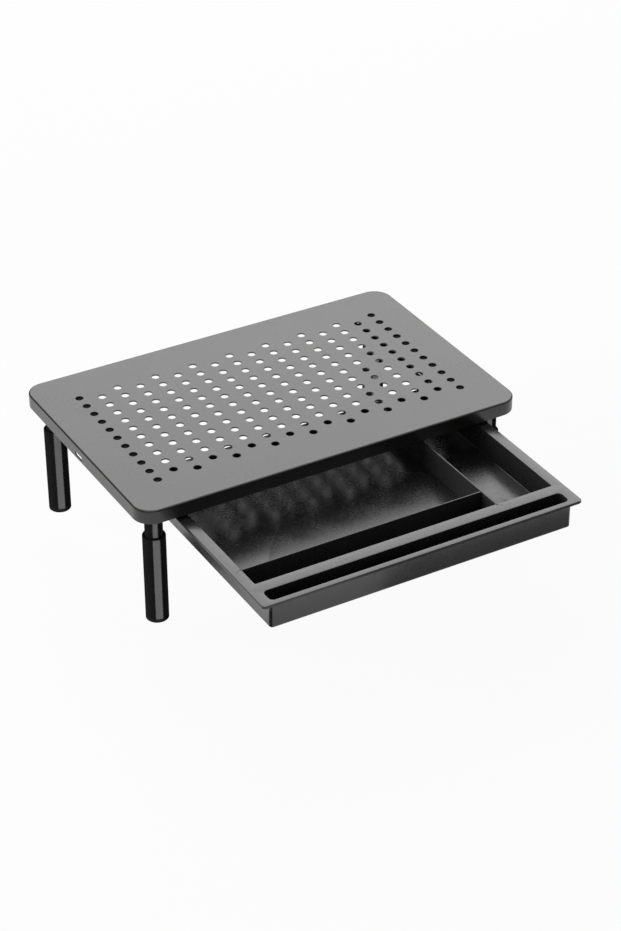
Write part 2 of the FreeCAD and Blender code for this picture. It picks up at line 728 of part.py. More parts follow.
def make_tray():
    """Moulded tub under a flange, with a front slot, a bar hollow from below and divider grooves."""
    body = make_body("drawer_tray", y=DRAWER_Y)
    tub = sketch_on(body, "tub_outline", "XY_Plane", TRAY_BOTTOM)
    draw_rounded_rectangle(tub, f"-{TUB_SIDE}", TUB_SIDE, TUB_FRONT, TUB_REAR, "tray_corner")
    blank = add_pad(body, "tub_blank", tub, "tray_height")
    add_fillet(body, "tub_rounding", blank, lies_at(TRAY_BOTTOM), "tray_bottom_rounding")

    flange = sketch_on(body, "flange_outline", "XY_Plane", FLANGE_BOTTOM)
    sides = f"-{FLANGE_SIDE}", FLANGE_SIDE, FLANGE_FRONT, FLANGE_REAR
    draw_rounded_rectangle(flange, *sides, "flange_corner")
    add_pad(body, "flange", flange, "flange_thickness")

    depth = "tray_height - tray_floor"
    main = sketch_on(body, "main_outline", "XY_Plane", FLANGE_TOP)
    draw_rectangle(main, f"-{INNER_SIDE}", INNER_SIDE, MAIN_FRONT, MAIN_REAR)
    add_pocket(body, "main_compartment", main, depth)

    slot = sketch_on(body, "front_slot_outline", "XY_Plane", FLANGE_TOP)
    sides = f"-{INNER_SIDE}", INNER_SIDE, SLOT_FRONT, SLOT_REAR
    draw_rounded_rectangle(slot, *sides, "front_slot_corner")
    add_pocket(body, "front_slot", slot, depth)

    below = sketch_on(body, "bar_hollow_outline", "XY_Plane", TRAY_BOTTOM)
    hollow_y = f"({SLOT_REAR} + tray_wall)", f"({MAIN_FRONT} - tray_wall)"
    draw_rectangle(below, f"-{INNER_SIDE}", INNER_SIDE, *hollow_y)
    add_pocket(body, "bar_hollow", below, "tray_height - flange_thickness", flip=True)

    half_groove = "(divider_thickness / 2 + divider_play)"
    across = f"({LONG_DIVIDER_X} - {half_groove})", f"({LONG_DIVIDER_X} + {half_groove})"
    long_ends = f"({MAIN_FRONT} - divider_groove)", f"({MAIN_REAR} + divider_groove)"
    long_groove = sketch_on(body, "long_groove_outline", "XY_Plane", FLANGE_TOP)
    draw_rectangle(long_groove, *across, *long_ends)
    add_pocket(body, "long_grooves", long_groove, depth)
    cross_ends = f"(-{INNER_SIDE} - divider_groove)", "0"
    along = f"({CROSS_DIVIDER_Y} - {half_groove})", f"({CROSS_DIVIDER_Y} + {half_groove})"
    cross_groove = sketch_on(body, "cross_groove_outline", "XY_Plane", FLANGE_TOP)
    draw_rectangle(cross_groove, *cross_ends, *along)
    add_pocket(body, "cross_groove", cross_groove, depth)

    for rail, side in RAIL_SIDES.items():
        lug = sketch_on(body, f"stop_lug_{rail}_outline", "XY_Plane", FLANGE_TOP)
        inner, outer = f"({side} * {STOP_LUG_EDGE})", f"({side} * {STOP_LUG_SIDE})"
        draw_rectangle(lug, inner, outer, MAIN_REAR, FLANGE_REAR)
        add_pad(body, f"stop_lug_{rail}", lug, f"{STOP_LUG_TOP} - {FLANGE_TOP}")
    return body


def make_long_divider():
    """Plate from the drawer's bar to its back, with a low window for the cross divider's tab."""
    body = make_body("divider_long", x=LONG_DIVIDER_X, y=DRAWER_Y)
    outline = sketch_on(body, "long_divider_outline", "YZ_Plane")
    front = f"({MAIN_FRONT} - divider_groove + divider_play)"
    rear = f"({MAIN_REAR} + divider_groove - divider_play)"
    half_window = "(divider_thickness / 2 + divider_play)"
    window = f"({CROSS_DIVIDER_Y} - {half_window})", f"({CROSS_DIVIDER_Y} + {half_window})"
    window_top = f"({FLOOR_TOP} + divider_tab_height + divider_play)"
    draw_polygon(outline, [
        (front, FLOOR_TOP),
        (window[0], FLOOR_TOP),
        (window[0], window_top),
        (window[1], window_top),
        (window[1], FLOOR_TOP),
        (rear, FLOOR_TOP),
        (rear, FLANGE_TOP),
        (front, FLANGE_TOP),
    ])
    add_pad(body, "long_divider_plate", outline, "divider_thickness", symmetric=True)
    return body


def make_cross_divider():
    """Plate from the drawer's left wall to the long divider, with a tab through its window."""
    body = make_body("divider_cross", y=f"{DRAWER_Y} + {CROSS_DIVIDER_Y}")
    outline = sketch_on(body, "cross_divider_outline", "XZ_Plane")
    left = f"(-{INNER_SIDE} - divider_groove + divider_play)"
    right = f"({LONG_DIVIDER_X} - divider_thickness / 2 - divider_play)"
    tab_end = f"({LONG_DIVIDER_X} + divider_thickness / 2 + divider_tab)"
    tab_top = f"({FLOOR_TOP} + divider_tab_height)"
    draw_polygon(outline, [
        (left, FLOOR_TOP),
        (tab_end, FLOOR_TOP),
        (tab_end, tab_top),
        (right, tab_top),
        (right, FLANGE_TOP),
        (left, FLANGE_TOP),
    ])
    add_pad(body, "cross_divider_plate", outline, "divider_thickness", symmetric=True)
    return body


def make_pieces():
    """Every piece of the stand, each a node of its own."""
    pieces = [make_platform(), make_leg_studs(), make_rail_studs(), make_rail_nuts(), make_leg_plugs()]
    pieces += [make_rail(rail, side) for rail, side in RAIL_SIDES.items()]
    for make_piece in (make_post, make_ring, make_sleeve, make_foot):
        pieces += [make_piece(corner) for corner in CORNERS]
    pieces += [make_tray(), make_long_divider(), make_cross_divider()]
    return pieces


def check(pieces):
    """Stop if any object failed to rebuild or any piece is empty or not valid."""
    for item in doc.Objects:
        if {"Invalid", "Error"} & set(item.State):
            raise RuntimeError(f"{item.Name} failed: {item.State}")
    for piece in pieces:
        if piece.Shape.isNull() or not piece.Shape.isValid():
            raise RuntimeError(f"{piece.Label} has no valid shape")


def write(pieces):
    """Write each piece to a STEP file that carries its name."""
    os.makedirs("parts", exist_ok=True)
    for piece in pieces:
        piece.Shape.exportStep(f"parts/{piece.Label}.step")


parts = make_pieces()
doc.recompute()
check(parts)
write(parts)
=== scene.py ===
"""Looks of a laptop stand: a perforated steel platform on four legs, with a moulded drawer.

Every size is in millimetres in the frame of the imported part, and becomes metres in a mesh.
New pieces are grids of points: a profile carried round a rounded rectangle, round a leg's axis,
or from a vent hole to the cell of sheet around it. Grids that meet share their points and are
welded.
"""

import logging
from dataclasses import dataclass, field
from enum import Enum

import bpy
import numpy as np
from mathutils import Matrix, Vector


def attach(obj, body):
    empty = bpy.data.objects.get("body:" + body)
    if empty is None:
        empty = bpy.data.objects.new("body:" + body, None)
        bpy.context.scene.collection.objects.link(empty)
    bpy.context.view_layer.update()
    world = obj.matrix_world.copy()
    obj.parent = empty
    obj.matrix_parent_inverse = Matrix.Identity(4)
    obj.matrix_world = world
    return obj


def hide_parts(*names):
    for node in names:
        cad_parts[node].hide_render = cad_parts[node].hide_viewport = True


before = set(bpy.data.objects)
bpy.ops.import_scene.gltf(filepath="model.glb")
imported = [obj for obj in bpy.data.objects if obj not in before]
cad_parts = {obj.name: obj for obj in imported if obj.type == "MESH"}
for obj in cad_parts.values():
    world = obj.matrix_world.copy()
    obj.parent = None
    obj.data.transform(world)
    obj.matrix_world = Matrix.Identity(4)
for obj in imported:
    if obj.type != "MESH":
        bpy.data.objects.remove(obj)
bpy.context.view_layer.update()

log = logging.getLogger("laptop_stand")

MM = 0.001
WELD = 1e-3  # points that round to the same multiple of it are one
TOUCH = 0.01  # how near a groove's side a point counts as on it
SHARP_ANGLE = np.radians(27.0)  # edges that turn by more stay sharp
NOISE_RANGE = (0.3, 0.7)  # where most of a noise lies

Flat = tuple[float, float] | np.ndarray  # a point with two coordinates


class Corner(Enum):
    """Corners of the platform, with the side of each along X and along Y."""

    FRONT_LEFT = ("front_left", -1, -1)
    FRONT_RIGHT = ("front_right", 1, -1)
    REAR_LEFT = ("rear_left", -1, 1)
    REAR_RIGHT = ("rear_right", 1, 1)

    @property
    def label(self) -> str:
        """Name of the corner in the names of pieces and bodies."""
        return self.value[0]


class Grain(Enum):
    """Kinds of surface that a finish can have."""

    POWDER = "powder"
    MOULDED = "moulded"
    POLISHED = "polished"
    TURNED = "turned"


# Grids of points


def spin(angles: np.ndarray) -> np.ndarray:
    """Unit vectors at angles in radians, as two coordinates: their cosine and sine."""
    return np.stack([np.cos(angles), np.sin(angles)], axis=-1)


def inner_shares(pieces: int) -> np.ndarray:
    """Shares that split a line into equal pieces, without both ends."""
    return np.arange(1, pieces) / pieces


def arc(centre: Flat, radius: float, start: float, end: float, steps: int) -> np.ndarray:
    """Points of a circle arc between two angles in degrees: the centre plus the turned radius."""
    return centre + radius * spin(np.radians(np.linspace(start, end, steps + 1)))


def at_height(outline: np.ndarray, height: float) -> np.ndarray:
    """Flat points with a third coordinate, the same for all."""
    return np.concatenate([outline, np.full((*outline.shape[:-1], 1), height)], axis=-1)


def level_sheet(low: Flat, high: Flat, height: float) -> np.ndarray:
    """Grid of the four corners of a level rectangle, from its lowest to its highest x and y."""
    x, y = np.meshgrid([low[0], high[0]], [low[1], high[1]])
    return at_height(np.stack([x, y], axis=-1), height)


def insets(low: np.ndarray, high: np.ndarray, corner: float,
           section: np.ndarray | list[Flat]) -> list[tuple]:
    """Rows for Loop.grid: a rounded rectangle at each inset and height of a section."""
    return [(low + inset, high - inset, max(corner - inset, 0), height)
            for inset, height in section]


def revolve(profile: np.ndarray, centre: Flat, angles: np.ndarray) -> np.ndarray:
    """Profile turned round an upright axis: x and y are the radius times the cosine and sine.

    Args:
        profile: Points as radius and height, counterclockwise round the material.
        centre: Where the axis stands.
        angles: Angle of each column in radians, for all rows alike or for each row.

    Returns:
        Grid with a row for each profile point and a column for each angle.
    """
    flat = centre + profile[:, None, :1] * spin(angles)
    heights = np.broadcast_to(profile[:, None, 1:], (*flat.shape[:-1], 1))
    return np.concatenate([flat, heights], axis=-1)


def placed(name: str, data: bpy.types.ID) -> bpy.types.Object:
    """Put a new object into the scene.

    Args:
        name: Its name.
        data: Its mesh, lamp or camera.

    Returns:
        The object.
    """
    made = bpy.data.objects.new(name, data)
    bpy.context.scene.collection.objects.link(made)
    return made


@dataclass(frozen=True)
class Loop:
    """Points round a rounded rectangle, counterclockwise from its low corner.

    Each point is a weighted mean of the four corner centres, plus the radius along its outward
    direction, so one loop gives matching outlines of any size and corner radius.
    """

    weights: np.ndarray
    outward: np.ndarray

    @staticmethod
    def of(sides: list[np.ndarray], corner_steps: int) -> "Loop":
        """Loop with given points along each straight side.

        Args:
            sides: For the front, right, back and left side, how far along it each point lies.
            corner_steps: Straight pieces in each corner arc.

        Returns:
            The loop.
        """
        weights, outward = [], []
        for side, shares in enumerate(sides):
            following = (side + 1) % 4
            mixed = np.zeros((len(shares), 4))
            mixed[:, side], mixed[:, following] = 1 - shares, shares
            facing = np.radians(90.0 * (side - 1))
            turned = facing + np.linspace(0, np.pi / 2, corner_steps + 1)
            weights += [mixed, np.tile(np.eye(4)[following], (corner_steps + 1, 1))]
            angles = np.concatenate([np.full(len(shares), facing), turned])
            outward.append(spin(angles))
        return Loop(np.concatenate(weights), np.concatenate(outward))

    def outline(self, low: Flat, high: Flat, radii: float | tuple = 0) -> np.ndarray:
        """Outline between two opposite corners.

        Args:
            low: Lowest x and y.
            high: Highest x and y.
            radii: Radius of all corners, or of each from the low one round.

        Returns:
            Array of points with two coordinates.
        """
        bends = np.broadcast_to(np.asarray(radii, float), 4)
        towards = np.array([[1, 1], [-1, 1], [-1, -1], [1, -1]])
        corners = np.array([low, (high[0], low[1]), high, (low[0], high[1])], float)
        centres = corners + bends[:, None] * towards
        return self.weights @ centres + (self.weights @ bends)[:, None] * self.outward

    def grid(self, rows: list[tuple]) -> np.ndarray:
        """Grid of outlines, each given by its low and high corner, its radii and its height."""
        return np.stack([at_height(self.outline(*sizes), height) for *sizes, height in rows])


@dataclass
class Shell:
    """Collects grids of points and joins them into one closed mesh, outside to the outside."""

    points: list[np.ndarray] = field(default_factory=list)
    quads: list[np.ndarray] = field(default_factory=list)
    count: int = 0

    def add(self, grid: np.ndarray, closed: bool = False,
            keep: np.ndarray | None = None) -> "Shell":
        """Add a grid, or many alike, whose quads face where they run counterclockwise.

        Args:
            grid: Points as (rows, columns, 3), with any number of grids before those.
            closed: Whether the last column meets the first.
            keep: Mask of the quads that stay, one for each row and column of quads.

        Returns:
            The shell itself.
        """
        many = grid.reshape(-1, *grid.shape[-3:])
        copies, rows, columns = many.shape[:3]
        index = np.arange(copies * rows * columns).reshape(copies, rows, columns) + self.count
        if closed:
            index = np.concatenate([index, index[:, :, :1]], axis=2)
        corners = [index[:, :-1, :-1], index[:, :-1, 1:], index[:, 1:, 1:], index[:, 1:, :-1]]
        quads = np.stack(corners, axis=-1)
        if keep is not None:
            quads = quads[:, keep]
        self.points.append(many.reshape(-1, 3))
        self.quads.append(quads.reshape(-1, 4))
        self.count += copies * rows * columns
        return self

    def mesh(self, name: str) -> bpy.types.Mesh:
        """Weld the grids and make a smooth mesh with sharp edges where the surface turns.

        Args:
            name: Name of the mesh.

        Returns:
            The mesh, in metres.
        """
        points = np.concatenate(self.points)
        cells = np.round(points / WELD).astype(np.int64)
        _, first, welded = np.unique(cells, axis=0, return_index=True, return_inverse=True)
        quads = welded.reshape(-1)[np.concatenate(self.quads)]
        differs = quads != np.roll(quads, -1, axis=1)
        sides = differs.sum(axis=1)
        thin = sides == 3
        faces = quads[sides == 4].tolist() + quads[thin][differs[thin]].reshape(-1, 3).tolist()
        mesh = bpy.data.meshes.new(name)
        mesh.from_pydata(points[first] * MM, [], faces)
        mesh.shade_smooth()
        mesh.set_sharp_from_angle(angle=float(SHARP_ANGLE))
        mesh.validate()
        return mesh

    def piece(self, name: str, body: str, finish: "Finish", *nodes: str) -> bpy.types.Object:
        """Make the object, put it on its body and let it stand for the solids that it replaces.

        Args:
            name: Name of the piece.
            body: Body of the part that it rides on.
            finish: Its finish.
            nodes: Solids of the part that it stands for.

        Returns:
            The object.
        """
        made = placed(name, self.mesh(name))
        made.data.materials.append(finish.material())
        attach(made, body)
        if nodes:
            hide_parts(*nodes)
        return made


# Finishes


def grey(level: float) -> tuple[float, float, float, float]:
    """Colour of an even grey, where 0 is black and 1 is white."""
    return level, level, level, 1.0


@dataclass
class Graph:
    """Nodes of one material or world, with short ways to add and join them."""

    owner: bpy.types.Material | bpy.types.World

    @staticmethod
    def start(name: str) -> "Graph":
        """Nodes of a new material.

        Args:
            name: Name of the material.

        Returns:
            The nodes.
        """
        material = bpy.data.materials.new(name)
        material.use_nodes = True
        return Graph(material)

    def shader(self, **settings: object) -> bpy.types.Node:
        """The material's own shader with some of its sockets set.

        Args:
            settings: Values by socket, with an underscore for each space in its name.

        Returns:
            The shader.
        """
        shader = self.owner.node_tree.nodes["Principled BSDF"]
        for name, value in settings.items():
            shader.inputs[name.replace("_", " ")].default_value = value
        return shader

    def add(self, kind: str, **settings: object) -> bpy.types.Node:
        """Add a node.

        Args:
            kind: Blender's name of the node type, without the words that all have.
            settings: Its properties.

        Returns:
            The node.
        """
        node = self.owner.node_tree.nodes.new("ShaderNode" + kind)
        for name, setting in settings.items():
            setattr(node, name, setting)
        return node

    def join(self, output: bpy.types.NodeSocket, socket: bpy.types.NodeSocket) -> None:
        """Link an output to an input."""
        self.owner.node_tree.links.new(output, socket)

    def noise(self, size: float, detail: float,
              stretch: tuple[float, float, float] = (1.0, 1.0, 1.0)) -> bpy.types.NodeSocket:
        """Noise on the object's own coordinates.

        Args:
            size: Width of its features in millimetres.
            detail: Number of finer layers.
            stretch: How much finer it is along each axis.

        Returns:
            Output with values around a half.
        """
        turn = self.add("Mapping")
        turn.inputs["Scale"].default_value = stretch
        noise = self.add("TexNoise", noise_dimensions="3D")
        noise.inputs["Scale"].default_value = 1 / (size * MM)
        noise.inputs["Detail"].default_value = detail
        self.join(self.add("TexCoord").outputs["Object"], turn.inputs["Vector"])
        self.join(turn.outputs["Vector"], noise.inputs["Vector"])
        return noise.outputs["Fac"]

    def spread(self, source: bpy.types.NodeSocket, low: float,
               high: float) -> bpy.types.NodeSocket:
        """Carry the middle of a noise to a range.

        Args:
            source: Noise.
            low: Value where the noise is weak.
            high: Value where it is strong.

        Returns:
            Output within the range.
        """
        node = self.add("MapRange")
        limits = zip(("From Min", "From Max", "To Min", "To Max"), (*NOISE_RANGE, low, high))
        for name, number in limits:
            node.inputs[name].default_value = number
        self.join(source, node.inputs["Value"])
        return node.outputs["Result"]

    def bump(self, height: bpy.types.NodeSocket, depth: float) -> bpy.types.Node:
        """Bump of a height.

        Args:
            height: Height from 0 to 1.
            depth: How deep it goes in millimetres.

        Returns:
            The bump.
        """
        node = self.add("Bump")
        node.inputs["Strength"].default_value = 1.0
        node.inputs["Distance"].default_value = depth * MM
        self.join(height, node.inputs["Height"])
        return node

    def shown(self) -> bpy.types.NodeSocket:
        """Whether a ray comes from the camera, a reflection or through glass.

        Returns:
            Output that is 1 for those rays and 0 for the light that falls on the stand.
        """
        path = self.add("LightPath")
        total = path.outputs["Is Camera Ray"]
        for name in ("Is Glossy Ray", "Is Transmission Ray"):
            either = self.add("Math", operation="MAXIMUM")
            self.join(total, either.inputs[0])
            self.join(path.outputs[name], either.inputs[1])
            total = either.outputs["Value"]
        return total

    def mix(self, share: bpy.types.NodeSocket, first: bpy.types.Node,
            second: bpy.types.Node) -> bpy.types.Node:
        """Mix two shaders.

        Args:
            share: Share of the second one.
            first: Shader where the share is 0.
            second: Shader where it is 1.

        Returns:
            The mixed shader.
        """
        node = self.add("MixShader")
        for output, socket in zip((share, first.outputs[0], second.outputs[0]), node.inputs):
            self.join(output, socket)
        return node

    def one_sided(self, shader: bpy.types.Node) -> bpy.types.Node:
        """The shader, but clear where the back of a face is seen."""
        back = self.add("NewGeometry").outputs["Backfacing"]
        return self.mix(back, shader, self.add("BsdfTransparent"))

    def end(self, shader: bpy.types.Node) -> None:
        """Join a shader to the output."""
        output = next(node for node in self.owner.node_tree.nodes if node.name.endswith("Output"))
        self.join(shader.outputs[0], output.inputs["Surface"])


@dataclass(frozen=True)
class Finish:
    """A surface: its colour, gloss and grain, with the slot of the record that it belongs to.

    Sizes and depths are in millimetres. Those that end in _by are multiples of the grain's.
    """

    slot: str
    colour: tuple[float, float, float]
    grain: Grain
    roughness: float
    grain_size: float
    grain_depth: float
    colour_change: float = 0.12
    roughness_change: float = 0.08
    patch_size: float = 60.0
    specular: float = 0.5
    metallic: float = 0.0
    coat: float = 0.0
    coat_roughness: float = 0.24
    speckle_shade: float = 0.7
    speckle_share: float = 0.5
    speckle_by: float = 1.6
    mark_by: float = 6.0
    wave_by: float = 14.0
    wave_depth_by: float = 2.0
    turned_stretch: float = 12.0

    def material(self) -> bpy.types.Material:
        """Material of this finish, made once.

        Returns:
            The material: patches of slightly darker and lighter colour with faint dust, roughness
            that wanders with finger marks, and a bump of grain over slow waves.
        """
        name = self.slot + "_look"
        if name in bpy.data.materials:
            return bpy.data.materials[name]
        graph = Graph.start(name)
        shader = graph.shader(Metallic=self.metallic, Specular_IOR_Level=self.specular,
                              Coat_Weight=self.coat, Coat_Roughness=self.coat_roughness)
        graph.join(self.tint(graph), shader.inputs["Base Color"])
        graph.join(self.gloss(graph), shader.inputs["Roughness"])
        graph.join(self.relief(graph), shader.inputs["Normal"])
        return graph.owner

    def tint(self, graph: Graph) -> bpy.types.NodeSocket:
        """Colour that changes slowly over the surface and by a little from grain to grain.

        Args:
            graph: Nodes of the material.

        Returns:
            Colour output.
        """
        patches = graph.add("Mix", data_type="RGBA")
        for name, change in (("A", 1 - self.colour_change), ("B", 1 + self.colour_change)):
            patches.inputs[name].default_value = (*(np.array(self.colour) * change), 1)
        speckle = graph.add("Mix", data_type="RGBA", blend_type="MULTIPLY")
        speckle.inputs["B"].default_value = grey(self.speckle_shade)
        wide = graph.noise(self.patch_size, detail=3.0)
        fine = graph.noise(self.grain_size * self.speckle_by, detail=2.0)
        graph.join(graph.spread(wide, 0, 1), patches.inputs["Factor"])
        graph.join(graph.spread(fine, 0, self.speckle_share), speckle.inputs["Factor"])
        graph.join(patches.outputs["Result"], speckle.inputs["A"])
        return speckle.outputs["Result"]

    def gloss(self, graph: Graph) -> bpy.types.NodeSocket:
        """Roughness between a cleaner and a duller level, with softer marks laid over it.

        Args:
            graph: Nodes of the material.

        Returns:
            Roughness output.
        """
        sums = graph.add("Math", operation="ADD", use_clamp=True)
        change = self.roughness_change
        wide = graph.noise(self.patch_size / 2, detail=4.0)
        fine = graph.noise(self.grain_size * self.mark_by, detail=3.0)
        graph.join(graph.spread(wide, self.roughness - change, self.roughness), sums.inputs[0])
        graph.join(graph.spread(fine, 0, change), sums.inputs[1])
        return sums.outputs["Value"]

    def relief(self, graph: Graph) -> bpy.types.NodeSocket:
        """Bump of the grain: round beads for powder, cells for a mould's texture, waves for gloss.

        Args:
            graph: Nodes of the material.

        Returns:
            Normal output.
        """
        if self.grain is Grain.MOULDED:
            cells = graph.add("TexVoronoi", feature="SMOOTH_F1")
            cells.inputs["Scale"].default_value = 1 / (self.grain_size * MM)
            graph.join(graph.add("TexCoord").outputs["Object"], cells.inputs["Vector"])
            height = cells.outputs["Distance"]
        else:
            stretch = (1.0, 1.0, self.turned_stretch if self.grain is Grain.TURNED else 1.0)
            detail = 1.0 if self.grain is Grain.POLISHED else 2.0
            height = graph.noise(self.grain_size, detail, stretch)
        waves = graph.noise(self.grain_size * self.wave_by, detail=1.0)
        slow = graph.bump(waves, self.grain_depth * self.wave_depth_by)
        fine = graph.bump(height, self.grain_depth)
        graph.join(slow.outputs["Normal"], fine.inputs["Normal"])
        return fine.outputs["Normal"]


PLATFORM_PAINT = Finish(
    "platform_paint", (0.019, 0.018, 0.017), Grain.POWDER, roughness=0.25, grain_size=0.55,
    grain_depth=0.0009, colour_change=0.1, roughness_change=0.035, patch_size=90.0, specular=0.67,
)
POST_PAINT = Finish(
    "post_paint", (0.012, 0.012, 0.012), Grain.POLISHED, roughness=0.26, grain_size=1.4,
    grain_depth=0.004, patch_size=20.0, specular=1.0, coat=1.0,
)
SLEEVE_PLASTIC = Finish(
    "sleeve_plastic", (0.012, 0.012, 0.012), Grain.POLISHED, roughness=0.26, grain_size=1.8,
    grain_depth=0.005, patch_size=20.0, specular=1.0, coat=1.0,
)
RING_PLASTIC = Finish(
    "ring_plastic", (0.05, 0.05, 0.052), Grain.MOULDED, roughness=0.5, grain_size=0.5,
    grain_depth=0.008,
)
FOOT_RUBBER = Finish(
    "foot_rubber", (0.02, 0.02, 0.02), Grain.MOULDED, roughness=0.72, grain_size=0.4,
    grain_depth=0.02, colour_change=0.2, specular=0.3,
)
DRAWER_PLASTIC = Finish(
    "drawer_plastic", (0.022, 0.021, 0.021), Grain.MOULDED, roughness=0.25, grain_size=0.42,
    grain_depth=0.0025, specular=0.72,
)
DIVIDER_PLASTIC = Finish(
    "divider_plastic", (0.03, 0.03, 0.03), Grain.MOULDED, roughness=0.3, grain_size=0.42,
    grain_depth=0.003,
)
RAIL_PLASTIC = Finish(
    "rail_plastic", (0.01, 0.01, 0.01), Grain.MOULDED, roughness=0.7, grain_size=0.5,
    grain_depth=0.01, specular=0.06,
)
ZINC_STEEL = Finish(
    "zinc_steel", (0.62, 0.62, 0.6), Grain.TURNED, roughness=0.34, grain_size=0.5,
    grain_depth=0.01, colour_change=0.1, roughness_change=0.1, patch_size=6.0, metallic=1.0,
)


# Sub-assemblies


@dataclass
class Platform:
    """Pressed sheet with a skirt, rows of vent holes and an oblong slot in each side skirt."""

    length: float = 370.0
    depth: float = 235.0
    middle_y: float = 71.5
    top: float = 121.0
    drop: float = 13.0
    sheet: float = 1.2
    corner: float = 17.0
    bend: float = 1.5
    hole: float = 7.0
    hole_edge: float = 0.22
    column_pitch: float = 18.66
    row_pitch: float = 15.16
    columns: int = 17
    rows: int = 11
    cell_steps: int = 6
    corner_steps: int = 14
    bend_steps: int = 7
    slot_length: float = 13.5
    slot_width: float = 3.4
    slot_drop: float = 8.8
    slot_setback: float = 3.0
    window_half: tuple[float, float] = (12.0, 3.8)
    window_steps: tuple[int, int] = (16, 4)
    lip: float = 0.2
    support: float = 0.35

    def __post_init__(self) -> None:
        """Work out the half sizes and heights that the methods share."""
        self.half = np.array([self.length, self.depth]) / 2
        self.cell_half = np.array([self.column_pitch, self.row_pitch]) / 2
        self.field_half = self.cell_half * (self.columns, self.rows)
        self.below = self.top - self.sheet

    def build(self) -> bpy.types.Object:
        """Make the platform.

        Returns:
            The object.
        """
        shell = Shell()
        self.add_border(shell)
        self.add_cells(shell)
        self.add_strips(shell)
        for side in (1, -1):
            self.add_side_slot(shell, side)
        for points in shell.points:
            points[:, 1] += self.middle_y
        return shell.piece("platform_sheet", "stand", PLATFORM_PAINT, "platform")

    def skirt_levels(self) -> np.ndarray:
        """Heights of the rows of points over the slot's window, from the lowest up."""
        middle = self.top - self.slot_drop
        half, steps = self.window_half[1], self.window_steps[1]
        return middle + np.linspace(-half, half, steps + 1)

    def border_profile(self) -> np.ndarray:
        """Section of the skirt from its inside over the lip and the bend to the top.

        Returns:
            Points as inset from the outline and height, counterclockwise round the sheet.
        """
        levels = self.skirt_levels()
        bottom, bend_low = self.top - self.drop, self.top - self.bend
        inside = [(self.sheet, self.below), *((self.sheet, level) for level in levels[::-1])]
        lip = [(self.sheet, bottom + self.lip), (self.sheet - self.lip, bottom)]
        lip += [(self.lip, bottom), (0, bottom + self.lip)]
        outside = [*((0, level) for level in levels), (0, bend_low - self.support)]
        bend = arc((self.bend, bend_low), self.bend, 180, 90, self.bend_steps)
        flat = [(self.bend + self.support, self.top)]
        return np.concatenate([inside, lip, outside, bend, flat])

    def side_shares(self, side: int) -> np.ndarray:
        """How far along a side skirt its points lie: close together over the slot's window.

        Args:
            side: 1 for the right skirt, which runs to the rear, and -1 for the left.

        Returns:
            Shares of the skirt's straight stretch.
        """
        count = self.rows * self.cell_steps
        across = self.window_steps[0]
        straight = self.depth - 2 * self.corner
        window = self.window_half[0] / straight
        middle = 0.5 + side * self.slot_setback / straight
        marks = [0, (count - across) / 2, (count + across) / 2, count]
        return np.interp(np.arange(1, count), marks, [0, middle - window, middle + window, 1])

    def add_border(self, shell: Shell) -> None:
        """Skirt, bend and both flat margins: the section carried round the platform's outline.

        Args:
            shell: Where the grid goes.
        """
        counts = self.columns * self.cell_steps, self.rows * self.cell_steps
        along, back = map(inner_shares, counts)
        right, left = self.side_shares(1), self.side_shares(-1)
        inner = Loop.of([along, back] * 2, self.corner_steps)
        outer = Loop.of([along, right, along, left], self.corner_steps)
        half = self.field_half
        ends = inner.grid([(-half, half, 0, height) for height in (self.below, self.top)])
        rings = outer.grid(insets(-self.half, self.half, self.corner, self.border_profile()))
        grid = np.concatenate([ends[:1], rings, ends[1:]])
        shell.add(grid, closed=True, keep=self.outside_windows(grid))

    def outside_windows(self, grid: np.ndarray) -> np.ndarray:
        """Mask of the border's quads that are not in a slot's window.

        Args:
            grid: The border's points.

        Returns:
            Mask of quads: their middles compared with the window's limits.
        """
        wrapped = np.concatenate([grid, grid[:, :1]], axis=1)
        middles = (wrapped[:-1, :-1] + wrapped[:-1, 1:] + wrapped[1:, 1:] + wrapped[1:, :-1]) / 4
        in_y = np.abs(middles[..., 1] - self.slot_setback) < self.window_half[0]
        in_z = np.abs(middles[..., 2] - (self.top - self.slot_drop)) < self.window_half[1]
        on_side = np.abs(middles[..., 0]) > self.half[0] - self.sheet - self.lip
        return ~(in_y & in_z & on_side)

    def add_cells(self, shell: Shell) -> None:
        """Cells of sheet round the vent holes: each a grid from its rectangle through the hole.

        Args:
            shell: Where the grids go.
        """
        centres = np.array([
            (2 * column - self.columns + 1, 2 * row - self.rows + column % 2 + 1)
            for column in range(self.columns)
            for row in range(self.rows - column % 2)
        ]) * self.cell_half
        cell = Loop.of([inner_shares(self.cell_steps)] * 4, 0)
        square = cell.outline(-self.cell_half, self.cell_half)
        circle = square / np.linalg.norm(square, axis=1, keepdims=True)
        radius, edge = self.hole / 2, self.hole_edge
        rings = np.stack([
            at_height(square, self.top),
            at_height(circle * (radius + edge), self.top),
            at_height(circle * radius, self.top - edge),
            at_height(circle * radius, self.below + edge / 2),
            at_height(circle * (radius + edge / 2), self.below),
            at_height(square, self.below),
        ])
        many = np.repeat(rings[None], len(centres), axis=0)
        many[..., :2] += centres[:, None, None, :]
        shell.add(many, closed=True)

    def add_strips(self, shell: Shell) -> None:
        """Half cells without a hole at both ends of the short columns.

        Args:
            shell: Where the grids go.
        """
        steps = self.cell_steps
        across = np.linspace(-self.cell_half[0], self.cell_half[0], steps + 1)
        low = np.linspace(0, self.cell_half[1], steps // 2 + 1) - self.field_half[1]
        x, y = np.meshgrid(across, low)
        for column in range(1, self.columns, 2):
            centre = (2 * column - self.columns + 1) * self.cell_half[0]
            for end in (1, -1):
                strip = at_height(np.stack([centre + end * x, end * y], axis=-1), self.top)
                under = strip[::-1].copy()
                under[..., 2] = self.below
                shell.add(np.stack([strip, under]))

